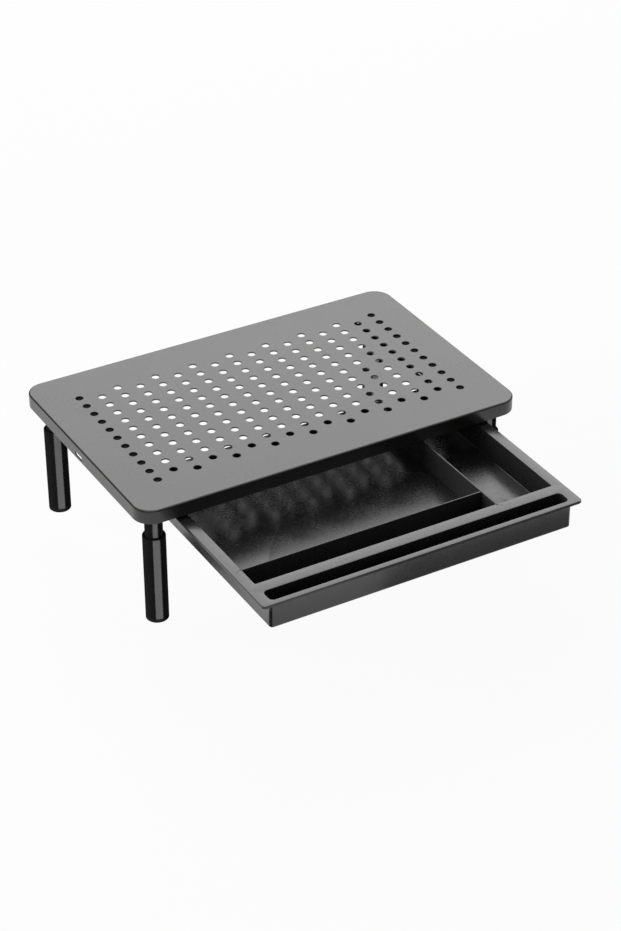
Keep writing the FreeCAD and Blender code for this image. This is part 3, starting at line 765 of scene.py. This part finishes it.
    def add_side_slot(self, shell: Shell, side: int) -> None:
        """Window of a side skirt, from its rectangle to the oblong slot and through the sheet.

        Each point of the oblong lies on the line from the slot's middle segment to its point of
        the rectangle, half the slot's width away from the segment.

        Args:
            shell: Where the grid goes.
            side: 1 for the right skirt and -1 for the left.
        """
        half = np.array(self.window_half)
        loop = Loop.of([inner_shares(steps) for steps in self.window_steps] * 2, 0)
        window = loop.outline(-half, half)
        reach = (self.slot_length - self.slot_width) / 2
        spine = np.stack([np.clip(window[:, 0], -reach, reach), np.zeros(len(window))], axis=-1)
        away = window - spine
        away /= np.linalg.norm(away, axis=1, keepdims=True)
        radius, edge = self.slot_width / 2, self.hole_edge / 2
        oblong, wider = spine + away * radius, spine + away * (radius + edge)
        middle = self.top - self.slot_drop
        rows = ((window, 0), (wider, 0), (oblong, edge), (oblong, self.sheet - edge),
                (wider, self.sheet), (window, self.sheet))
        grid = np.stack([
            np.stack([np.full(len(ring), side * (self.half[0] - inset)),
                      side * ring[:, 0] + self.slot_setback, ring[:, 1] + middle], axis=-1)
            for ring, inset in rows
        ])
        shell.add(grid, closed=True)


@dataclass
class Leg:
    """One leg: a tube fixed to the platform, in a sleeve that stands on a rubber foot."""

    corner: Corner
    axis_half: tuple[float, float] = (165.2, 97.3)
    middle_y: float = 71.5
    sides: int = 64
    post_radius: float = 7.75
    post_wall: float = 1.5
    post_low: float = 35.2
    post_high: float = 119.8
    keyway_half: float = 1.45
    keyway_levels: tuple[float, float] = (36.9, 83.5)
    sleeve_radius: float = 10.0
    sleeve_wall: float = 1.2
    sleeve_top: float = 84.2
    rim: float = 0.5
    groove_levels: tuple[float, float] = (76.4, 78.4)
    groove_depth: float = 0.4
    wall_margin: float = 1.0
    foot_height: float = 4.0
    foot_rounding: float = 1.2
    plug_height: float = 13.0
    plug_play: float = 0.05
    edge: float = 0.15
    rim_steps: int = 4
    foot_steps: int = 5

    @property
    def angles(self) -> np.ndarray:
        """Angles of the points round a leg."""
        return np.arange(self.sides) * 2 * np.pi / self.sides

    @property
    def centre(self) -> tuple[float, float]:
        """Where the leg's axis stands."""
        _, side_x, side_y = self.corner.value
        return side_x * self.axis_half[0], self.middle_y + side_y * self.axis_half[1]

    def build(self) -> list[bpy.types.Object]:
        """Make the leg's visible pieces and finish its guide ring.

        Returns:
            The post, the sleeve and the foot.
        """
        label = self.corner.label
        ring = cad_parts[f"lock_ring_{label}"]
        dress(ring, RING_PLASTIC)
        return [self.post(label), self.sleeve(label), self.foot(label)]

    def post(self, label: str) -> bpy.types.Object:
        """Tube with a keyway at its back: its section turned round the axis up to the keyway.

        Args:
            label: Name of the corner.

        Returns:
            The post.
        """
        shell = Shell()
        low, high, edge = self.post_low, self.post_high, self.edge
        levels = np.array([low, low + edge, *self.keyway_levels, high - edge, high])
        bevel = edge * np.isin(levels, [low, high])
        outside = np.stack([self.post_radius - bevel, levels], axis=-1)
        inside = np.stack([self.post_radius - self.post_wall + bevel, levels], axis=-1)[::-1]
        profile = np.concatenate([outside, inside, outside[:1]])
        half = np.arcsin(self.keyway_half / profile[:, :1])
        angles = np.pi / 2 + half + np.linspace(0, 1, self.sides - 1) * (2 * np.pi - 2 * half)
        grid = revolve(profile, self.centre, angles)
        below, above = np.flatnonzero(np.isin(levels, self.keyway_levels))
        rows, columns = np.array([below, below, above, above]), np.array([-1, 0, 0, -1])
        behind = len(profile) - 2 - rows
        keep = np.ones((len(profile) - 1, self.sides - 1), bool)
        keep[[below, behind.min()], -1] = False
        shell.add(grid, closed=True, keep=keep)
        shell.add(np.stack([grid[rows, columns], grid[behind, columns]]), closed=True)
        return shell.piece(f"post_{label}", "stand", POST_PAINT, f"leg_post_{label}")

    def sleeve(self, label: str) -> bpy.types.Object:
        """Tube with a rounded rim and a groove inside: its section turned round the leg's axis.

        Args:
            label: Name of the corner.

        Returns:
            The sleeve.
        """
        radius, bore = self.sleeve_radius, self.sleeve_radius - self.sleeve_wall
        bottom, top = self.foot_height, self.sleeve_top
        groove, (groove_low, groove_high) = bore + self.groove_depth, self.groove_levels
        profile = np.concatenate([
            [(bore, bottom), (radius - self.edge, bottom), (radius, bottom + self.edge)],
            [(radius, bottom + self.wall_margin), (radius, top - self.wall_margin)],
            arc((radius - self.rim, top - self.rim), self.rim, 0, 90, self.rim_steps),
            [(bore + self.edge, top), (bore, top - self.edge), (bore, groove_high)],
            [(groove, groove_high), (groove, groove_low), (bore, groove_low), (bore, bottom)],
        ])
        shell = Shell().add(revolve(profile, self.centre, self.angles), closed=True)
        body, solid = f"leg_{label}", f"leg_sleeve_{label}"
        return shell.piece(f"sleeve_{label}", body, SLEEVE_PLASTIC, solid)

    def foot(self, label: str) -> bpy.types.Object:
        """Disc with a rounded lower edge and a plug: its section turned round the leg's axis.

        Args:
            label: Name of the corner.

        Returns:
            The foot.
        """
        radius, rounding, high = self.sleeve_radius, self.foot_rounding, self.foot_height
        plug = self.sleeve_radius - self.sleeve_wall - self.plug_play
        profile = np.concatenate([
            [(0, 0), (radius - 2 * rounding, 0)],
            arc((radius - rounding, rounding), rounding, -90, 0, self.foot_steps),
            [(radius, high - self.edge), (radius - self.edge, high), (plug, high)],
            [(plug, self.plug_height - self.edge), (plug - self.edge, self.plug_height)],
            [(0, self.plug_height)],
        ])
        shell = Shell().add(revolve(profile, self.centre, self.angles), closed=True)
        return shell.piece(f"foot_pad_{label}", f"leg_{label}", FOOT_RUBBER, f"foot_{label}")


@dataclass
class Drawer:
    """Moulded tray: a tub under a flange, with a front slot, a hollow bar and two dividers."""

    flange_low: tuple[float, float] = (-151.7, -189.0)
    flange_high: tuple[float, float] = (151.7, 32.5)
    flange_levels: tuple[float, float] = (103.5, 106.0)
    flange_corner: float = 3.6
    tub_low: tuple[float, float] = (-143.3, -185.4)
    tub_high: tuple[float, float] = (143.3, 29.5)
    tub_corner: float = 3.0
    bottom: float = 80.5
    bottom_rounding: float = 1.2
    neck_rounding: float = 0.4
    floor: float = 82.5
    inner_half: float = 141.7
    slot_y: tuple[float, float] = (-183.5, -169.5)
    slot_corner: float = 4.0
    main_y: tuple[float, float] = (-157.5, 27.9)
    main_corner: float = 1.0
    hollow_y: tuple[float, float] = (-167.9, -159.1)
    hollow_inset: float = 4.0
    divider: float = 1.4
    groove: float = 0.8
    groove_half: float = 0.75
    long_x: float = 86.4
    cross_y: float = -135.1
    tab_reach: float = 88.3
    tab_height: float = 6.0
    tab_root: float = 3.0
    plate_rim: float = 0.4
    plate_corner: float = 0.2
    lug_x: tuple[float, float] = (139.5, 144.7)
    lug_top: float = 111.5
    lug_inset: float = 0.5
    lug_bevel: float = 0.4
    rim: float = 0.45
    fillet: float = 0.8
    corner_steps: int = 6
    arc_steps: int = 4
    bottom_steps: int = 6
    neck_steps: int = 2
    lug_steps: int = 3
    plate_steps: int = 8
    plate_corner_steps: int = 2
    across_steps: int = 13
    side_steps: int = 9
    front_steps: int = 3

    def __post_init__(self) -> None:
        """Work out how far along each side points lie, and the line that splits the top in two."""
        half = self.inner_half - self.main_corner
        back, front = self.main_y[1] - self.main_corner, self.main_y[0] + self.main_corner
        self.across = self.grooved(self.across_steps, -half, half, self.long_x)
        self.left = self.grooved(self.side_steps, back, front, self.cross_y)
        self.right = inner_shares(self.side_steps)
        self.front_side = inner_shares(self.front_steps)
        self.split = (self.slot_y[1] + self.main_y[0]) / 2

    def build(self) -> list[bpy.types.Object]:
        """Make the tray and both dividers.

        Returns:
            The three objects.
        """
        return [self.tray(), self.long_divider(), self.cross_divider()]

    def grooved(self, pieces: int, start: float, end: float, groove: float) -> np.ndarray:
        """How far along a wall its points lie, with two on each side of a divider's groove.

        Args:
            pieces: Number of equal pieces of the wall.
            start: Where the wall starts.
            end: Where it ends.
            groove: Middle of the groove.

        Returns:
            Shares of the wall's length.
        """
        sides = np.sort((groove + np.array([-1, 1]) * self.groove_half - start) / (end - start))
        even = inner_shares(pieces)
        even = even[(even < sides[0] - TOUCH) | (even > sides[1] + TOUCH)]
        return np.sort(np.concatenate([even, np.repeat(sides, 2)]))

    def tray(self) -> bpy.types.Object:
        """Tray: outlines carried round its section, with openings that share the flange's top.

        Returns:
            The tray.
        """
        across, back, front_side = self.across, 1 - self.across[::-1], self.front_side
        front_loop = Loop.of([across, front_side, back, front_side], self.corner_steps)
        back_loop = Loop.of([across, self.right, back, self.left], self.corner_steps)
        low, high = np.array(self.flange_low) + self.rim, np.array(self.flange_high) - self.rim
        bend = self.flange_corner - self.rim
        front_edge = front_loop.outline(low, (high[0], self.split), (bend, bend, 0, 0))
        back_edge = back_loop.outline((low[0], self.split), high, (0, 0, bend, bend))
        shell = Shell()
        self.add_outside(shell)
        self.add_slot(shell, front_loop, front_edge)
        self.add_main(shell, back_loop, back_edge)
        for side in (-1, 1):
            self.add_lug(shell, side)
        return shell.piece("tray", "drawer", DRAWER_PLASTIC, "drawer_tray")

    def outside_loop(self) -> Loop:
        """Loop round the whole tray, with the points of both openings' loops along its sides.

        Returns:
            The loop.
        """
        start = self.flange_low[1] + self.flange_corner
        end = self.flange_high[1] - self.flange_corner
        front = (self.split - start) / (end - start)
        back = 1 - front
        right = np.concatenate([self.front_side * front, [front], front + self.right * back])
        left = np.concatenate([self.left * back, [back], back + self.front_side * front])
        return Loop.of([self.across, right, 1 - self.across[::-1], left], self.corner_steps)

    def add_outside(self, shell: Shell) -> None:
        """Everything outside the openings, from the hollow of the bar round to the flange's top.

        Args:
            shell: Where the grid goes.
        """
        bottom, (ceiling, top), edge = self.bottom, self.flange_levels, self.rim / 3
        half, (front, back) = self.inner_half, self.hollow_y
        low, high = np.array([-half, front]), np.array([half, back])
        reach, middle = half - self.hollow_inset, (front + back) / 2
        rows = [
            ((-reach, middle), (reach, middle), 0, ceiling),
            (low, high, 0, ceiling),
            (low, high, 0, bottom + edge),
            (low - edge, high + edge, 0, bottom),
        ]
        low, high = np.array(self.tub_low), np.array(self.tub_high)
        bend, neck, rim = self.bottom_rounding, self.neck_rounding, self.rim
        rows.append((low + 2 * bend, high - 2 * bend, self.tub_corner - bend, bottom))
        rows += insets(low, high, self.tub_corner, [
            *arc((bend, bottom + bend), bend, 270, 180, self.bottom_steps),
            (0, bottom + 2 * bend),
            *arc((-neck, ceiling - neck), neck, 0, 90, self.neck_steps),
        ])
        low, high = np.array(self.flange_low), np.array(self.flange_high)
        rows += insets(low, high, self.flange_corner, [
            (edge, ceiling), (0, ceiling + edge),
            *arc((rim, top - rim), rim, 180, 90, self.arc_steps),
        ])
        shell.add(self.outside_loop().grid(rows), closed=True)

    def opening(self, loop: Loop, edge: np.ndarray, wall: np.ndarray, last: np.ndarray,
                notch: float | np.ndarray = 0.0) -> np.ndarray:
        """Grid from an edge on the flange's top over a rounded rim down a wall to the floor.

        Args:
            loop: Loop of all the outlines.
            edge: Outline on the flange's top.
            wall: Outline of the opening.
            last: Line in the middle of the floor.
            notch: How far each point is set back in a groove.

        Returns:
            The grid.
        """
        top, rim, fillet, steps = self.flange_levels[1], self.rim, self.fillet, self.arc_steps
        depth = np.broadcast_to(notch, len(wall))[:, None]
        outlines = [at_height(edge, top)]
        for outset, height in arc((rim, top - rim), rim, 90, 180, steps):
            outlines.append(at_height(wall + loop.outward * (depth + outset), height))
        for outset, height in arc((-fillet, self.floor + fillet), fillet, 0, -90, steps):
            set_back = depth * (outset >= 0) + outset
            outlines.append(at_height(wall + loop.outward * set_back, height))
        return np.stack([*outlines, at_height(last, self.floor)])

    def add_slot(self, shell: Shell, loop: Loop, edge: np.ndarray) -> None:
        """Front slot for a phone or pens.

        Args:
            shell: Where the grid goes.
            loop: Loop of its outlines.
            edge: Outline on the flange's top.
        """
        half, (low, high), middle = self.inner_half, self.slot_y, sum(self.slot_y) / 2
        wall = loop.outline((-half, low), (half, high), self.slot_corner)
        reach = half - self.slot_corner
        last = loop.outline((-reach, middle), (reach, middle))
        shell.add(self.opening(loop, edge, wall, last), closed=True)

    def add_main(self, shell: Shell, loop: Loop, edge: np.ndarray) -> None:
        """Main compartment with grooves for the dividers.

        Args:
            shell: Where the grid goes.
            loop: Loop of its outlines.
            edge: Outline on the flange's top.
        """
        half, (low, high), middle = self.inner_half, self.main_y, sum(self.main_y) / 2
        wall = loop.outline((-half, low), (half, high), self.main_corner)
        last = loop.outline((-half / 2, middle), (half / 2, middle))
        near = np.abs(wall - (self.long_x, self.cross_y)) < self.groove_half + TOUCH
        touched = near[:, 0] | near[:, 1] & (wall[:, 0] < 0)
        deep = touched & np.roll(touched, 1) & np.roll(touched, -1)
        shell.add(self.opening(loop, edge, wall, last, deep * self.groove), closed=True)

    def add_lug(self, shell: Shell, side: int) -> None:
        """Stop lug on the flange's back edge: a small block with a bevelled top.

        Args:
            shell: Where the grid goes.
            side: 1 for the right lug and -1 for the left.
        """
        loop = Loop.of([inner_shares(2)] * 4, self.lug_steps)
        near, far = sorted(side * x for x in self.lug_x)
        low = np.array([near, self.main_y[1] + self.lug_inset])
        high = np.array([far, self.flange_high[1] - self.lug_inset])
        middle, bevel = (low + high) / 2, self.lug_bevel
        base, top = self.flange_levels[0] + self.lug_inset, self.lug_top
        shell.add(loop.grid([
            (middle, middle, 0, base),
            (low, high, bevel, base),
            (low, high, bevel, top - bevel),
            (low + bevel, high - bevel, 0, top),
            (middle, middle, 0, top),
        ]), closed=True)

    def plate(self, shell: Shell, low: Flat, high: Flat, levels: tuple[float, float]) -> None:
        """Upright plate with rounded edges: a rounded rectangle carried up from the floor.

        Args:
            shell: Where the grid goes.
            low: Lowest x and y.
            high: Highest x and y.
            levels: Bottom and top.
        """
        loop = Loop.of([inner_shares(self.plate_steps)] * 4, self.plate_corner_steps)
        low, high = np.array(low), np.array(high)
        (bottom, top), rim, corner = levels, self.plate_rim, self.plate_corner
        middle = (low + high) / 2
        reach = np.maximum(high - middle - self.divider / 2, 0)
        section = arc((rim, top - rim), rim, 180, 90, self.arc_steps)
        shell.add(loop.grid([
            (middle - reach, middle + reach, 0, bottom),
            *insets(low, high, corner, [(0, bottom), (0, top - 2 * rim), *section]),
            (middle - reach, middle + reach, 0, top),
        ]), closed=True)

    def long_divider(self) -> bpy.types.Object:
        """Plate from the bar to the back wall.

        Returns:
            The divider.
        """
        shell = Shell()
        half, play = self.divider / 2, self.groove_half - self.divider / 2
        low = self.long_x - half, self.main_y[0] - self.groove + play
        high = self.long_x + half, self.main_y[1] + self.groove - play
        self.plate(shell, low, high, (self.floor, self.flange_levels[1]))
        return shell.piece("long_divider", "drawer", DIVIDER_PLASTIC, "divider_long")

    def cross_divider(self) -> bpy.types.Object:
        """Plate from the left wall to the long divider, with a low tab that goes through it.

        Returns:
            The divider.
        """
        shell = Shell()
        half, play = self.divider / 2, self.groove_half - self.divider / 2
        low = -self.inner_half - self.groove + play, self.cross_y - half
        high = self.long_x - half - play, self.cross_y + half
        self.plate(shell, low, high, (self.floor, self.flange_levels[1]))
        tab_low = high[0] - self.tab_root, self.cross_y - half + play
        tab_high = self.tab_reach, self.cross_y + half - play
        self.plate(shell, tab_low, tab_high, (self.floor, self.floor + self.tab_height))
        return shell.piece("cross_divider", "drawer", DIVIDER_PLASTIC, "divider_cross")


def dress(node: bpy.types.Object, finish: Finish) -> None:
    """Give a solid of the part a finish."""
    node.data.materials.clear()
    node.data.materials.append(finish.material())


@dataclass
class Mountings:
    """Rails and fixings under the platform, which keep the part's own solids."""

    finishes: dict[str, Finish] = field(default_factory=lambda: {
        "rail_left": RAIL_PLASTIC,
        "rail_right": RAIL_PLASTIC,
        "rail_studs": ZINC_STEEL,
        "rail_nuts": ZINC_STEEL,
        "leg_studs": ZINC_STEEL,
        "leg_plugs": ZINC_STEEL,
    })

    def build(self) -> list[bpy.types.Object]:
        """Dress the solids.

        Returns:
            Their objects.
        """
        for name, finish in self.finishes.items():
            dress(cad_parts[name], finish)
        return [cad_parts[name] for name in self.finishes]


# Studio


@dataclass(frozen=True)
class Lamp:
    """Soft square lamp that looks at a point of the stand, with its sizes in metres."""

    name: str
    place: tuple[float, float, float]
    size: float
    power: float
    target: tuple[float, float, float] = (0.0, 0.0, 0.08)
    in_gloss: bool = True

    def build(self) -> None:
        """Hang the lamp."""
        data = bpy.data.lights.new(self.name, "AREA")
        data.shape, data.size, data.energy = "SQUARE", self.size, self.power
        lamp = placed(self.name, data)
        lamp.visible_glossy = self.in_gloss
        lamp.location = self.place
        ahead = Vector(self.target) - Vector(self.place)
        lamp.rotation_euler = ahead.to_track_quat("-Z", "Y").to_euler()


@dataclass
class Studio:
    """Pale floor, soft lamps, an even world, the camera, and cards that shape the gloss.

    The camera's place and the lamps are in metres. Angles are in degrees, and each of a band's
    edges is an azimuth with a low and a high elevation. A level is a brightness, where 1 is white.
    """

    fill: float = 0.06
    floor_colour: float = 0.22
    floor_half: float = 6000.0
    floor_gap: float = 20.3
    floor_seen: float = 0.95
    floor_whiteness: float = 0.94
    floor_roughness: float = 0.9
    card_facing: float = -119.9
    card_opening: tuple[float, float] = (-3.5, 31.5)
    card_gap: float = 3.0
    card_bottom: float = -20.2
    card_top: float = 107.0
    card_level: float = 0.02
    front_card_low: tuple[float, float] = (20.0, -460.0)
    front_card_high: tuple[float, float] = (460.0, -235.0)
    front_card_height: float = 0.6
    front_card_level: float = 0.35
    corner_card_x: float = -148.0
    corner_card_y: tuple[float, float] = (-200.0, -177.0)
    corner_card_z: tuple[float, float] = (50.0, 92.0)
    band_radius: float = 1900.0
    hood_edges: tuple = ((76, -4, 22), (92, -4, 31), (150, -4, 31), (308, -4, 30))
    hood_level: float = 0.04
    back_edges: tuple = ((308, -4, 19), (436, -4, 19))
    back_level: float = 0.25
    table_half: tuple[float, float] = (420.0, 520.0)
    table_corner: float = 60.0
    table_steps: int = 4
    table_height: float = 0.3
    ring_steps: int = 60
    band_steps: tuple[int, int] = (71, 15)
    camera_place: tuple[float, float, float] = (-0.879655, -1.531905, 1.210280)
    camera_right: tuple[float, float, float] = (0.86656339, -0.49906134, -0.002382)
    camera_ahead: tuple[float, float, float] = (0.41976345, 0.73143659, -0.53740037)
    lens: float = 93.602
    sensor: float = 36.0
    lamps: tuple[Lamp, ...] = (
        Lamp("lamp_left", (-2.3, 0.7, 0.7), 1.6, 66.0, in_gloss=False),
        Lamp("lamp_back", (0.98, 1.75, 1.36), 2.4, 33.0),
        Lamp("lamp_above", (0.2, 0.3, 2.8), 1.6, 5.0),
        Lamp("lamp_front", (-1.2, -2.3, 1.0), 1.4, 7.0),
    )

    def build(self) -> None:
        """Make everything round the stand."""
        self.floor()
        self.leg_cards()
        self.drawer_cards()
        self.hood()
        self.back_band()
        self.world()
        for lamp in self.lamps:
            lamp.build()
        self.camera()
        bpy.context.scene.view_settings.view_transform = "Standard"

    def floor(self) -> None:
        """Pale floor that keeps the stand's shadow: near white where it is seen, clear from below.

        It lies under the feet of the longest legs.
        """
        graph = Graph.start("floor_look")
        shader = graph.shader(Roughness=self.floor_roughness, Specular_IOR_Level=0.0)
        shown = graph.shown()
        paper = graph.add("Mix", data_type="RGBA")
        paper.inputs["A"].default_value = grey(self.floor_colour)
        paper.inputs["B"].default_value = grey(self.floor_seen)
        graph.join(shown, paper.inputs["Factor"])
        graph.join(paper.outputs["Result"], shader.inputs["Base Color"])
        share = graph.add("Math", operation="MULTIPLY")
        share.inputs[1].default_value = self.floor_whiteness
        graph.join(shown, share.inputs[0])
        whitened = graph.mix(share.outputs["Value"], shader, graph.add("Emission"))
        graph.end(graph.one_sided(whitened))
        half = np.full(2, self.floor_half)
        sheet = Shell().add(level_sheet(-half, half, -self.floor_gap))
        floor = placed("floor", sheet.mesh("floor"))
        floor.data.materials.append(graph.owner)

    def leg_cards(self) -> None:
        """Black cards round the legs, open towards the front, which only the legs' gloss reflects.

        Each is part of a cylinder: the leg's axis plus a radius times the cosine and sine of an
        angle. A reflection off the leg at one angle leaves at twice that angle, so the opening's
        edges lie at twice the angle less the arcsine of the leg's radius times its sine over the
        card's radius.
        """
        shell = Shell()
        edge = np.array(self.card_opening)
        for corner in Corner:
            leg = Leg(corner)
            radius = leg.sleeve_radius + self.card_gap
            bent = np.degrees(np.arcsin(leg.sleeve_radius * np.sin(np.radians(edge)) / radius))
            closes, opens = self.card_facing + 2 * edge - bent
            angles = np.radians(np.linspace(opens, closes + 360, self.ring_steps + 1))
            profile = np.array([(radius, self.card_top), (radius, self.card_bottom)])
            shell.add(revolve(profile, leg.centre, angles))
        self.card("cards", shell, self.card_level, one_side=True)

    def drawer_cards(self) -> None:
        """Cards that paint darker reflections on the drawer: a grey rectangle on the floor before
        it, which its front reflects, and a black one by its front left corner, which paints a dark
        reflection there.

        The black one is upright and seen only from the drawer's side.
        """
        grid = level_sheet(self.front_card_low, self.front_card_high, self.front_card_height)
        self.card("front_card", Shell().add(grid), self.front_card_level)
        y, z = np.meshgrid(self.corner_card_y[::-1], self.corner_card_z, indexing="ij")
        grid = np.stack([np.full(y.shape, self.corner_card_x), y, z], axis=-1)
        self.card("corner_card", Shell().add(grid), 0.0, one_side=True)

    def hood(self) -> None:
        """Dark band low round the front and the left, which rounded edges reflect as a line.

        It goes on past the table's edge, on the floor, as a ring outside a rounded rectangle.
        """
        shell = Shell().add(self.band(self.hood_edges))
        half = np.array(self.table_half)
        loop = Loop.of([inner_shares(2)] * 4, self.table_steps)
        inner = loop.outline(-half, half, self.table_corner)
        outer = inner * self.band_radius / half[0]
        shell.add(at_height(np.stack([inner, outer]), self.table_height), closed=True)
        self.card("hood", shell, self.hood_level)

    def back_band(self) -> None:
        """Grey band low behind the stand, seen only in reflections, where it paints a dimmer
        reflection.
        """
        self.card("back_band", Shell().add(self.band(self.back_edges)), self.back_level)

    def band(self, edges: tuple) -> np.ndarray:
        """Part of a sphere: its radius times the cosine and sine of an azimuth and an elevation.

        Args:
            edges: Azimuths, each with the elevations of the low and the high edge there.

        Returns:
            Grid with a row for each azimuth.
        """
        columns, rows = self.band_steps
        azimuth, low, high = np.array(edges).T
        around = np.linspace(azimuth[0], azimuth[-1], columns + 1)[:, None]
        bottom, top = np.interp(around, azimuth, low), np.interp(around, azimuth, high)
        elevation = np.radians(bottom + np.linspace(0, 1, rows + 1) * (top - bottom))
        flat = np.cos(elevation)[..., None] * spin(np.radians(around))
        return self.band_radius * np.concatenate([flat, np.sin(elevation)[..., None]], axis=-1)

    @staticmethod
    def card(name: str, shell: Shell, level: float, one_side: bool = False) -> None:
        """Stage a surface that reflections see and that neither blocks nor gives other light.

        Args:
            name: Name of the card.
            shell: Its surface.
            level: How bright reflections see it.
            one_side: Whether only the side its faces point to is seen.
        """
        graph = Graph.start(name + "_look")
        shader = graph.shader(Base_Color=grey(0), Specular_IOR_Level=0.0,
                              Emission_Color=grey(1), Emission_Strength=level)
        if one_side:
            graph.end(graph.one_sided(shader))
        card = placed(name, shell.mesh(name))
        card.data.materials.append(graph.owner)
        card.visible_camera = card.visible_diffuse = False
        card.visible_transmission = card.visible_shadow = False

    def world(self) -> None:
        """Even dim light all round, seen as white."""
        world = bpy.data.worlds.new("studio")
        world.use_nodes = True
        graph = Graph(world)
        lights = [graph.add("Background"), graph.add("Background")]
        for light, strength in zip(lights, (self.fill, 1.0)):
            light.inputs["Color"].default_value = grey(1)
            light.inputs["Strength"].default_value = strength
        graph.end(graph.mix(graph.shown(), *lights))
        bpy.context.scene.world = world

    def camera(self) -> None:
        """Camera at the height and side from which the stand is shown."""
        right = Vector(self.camera_right).normalized()
        ahead = Vector(self.camera_ahead).normalized()
        data = bpy.data.cameras.new("camera")
        data.lens, data.sensor_width = self.lens, self.sensor
        camera = placed("camera", data)
        turn = Matrix((right, right.cross(ahead), -ahead)).transposed().to_4x4()
        camera.matrix_world = Matrix.Translation(self.camera_place) @ turn
        bpy.context.scene.camera = camera


def main() -> None:
    """Build the studio and every sub-assembly in order."""
    logging.basicConfig(level=logging.INFO, format="%(name)s: %(message)s")
    Studio().build()
    Platform().build()
    for corner in Corner:
        Leg(corner).build()
    Drawer().build()
    Mountings().build()


if __name__ == "__main__":
    main()
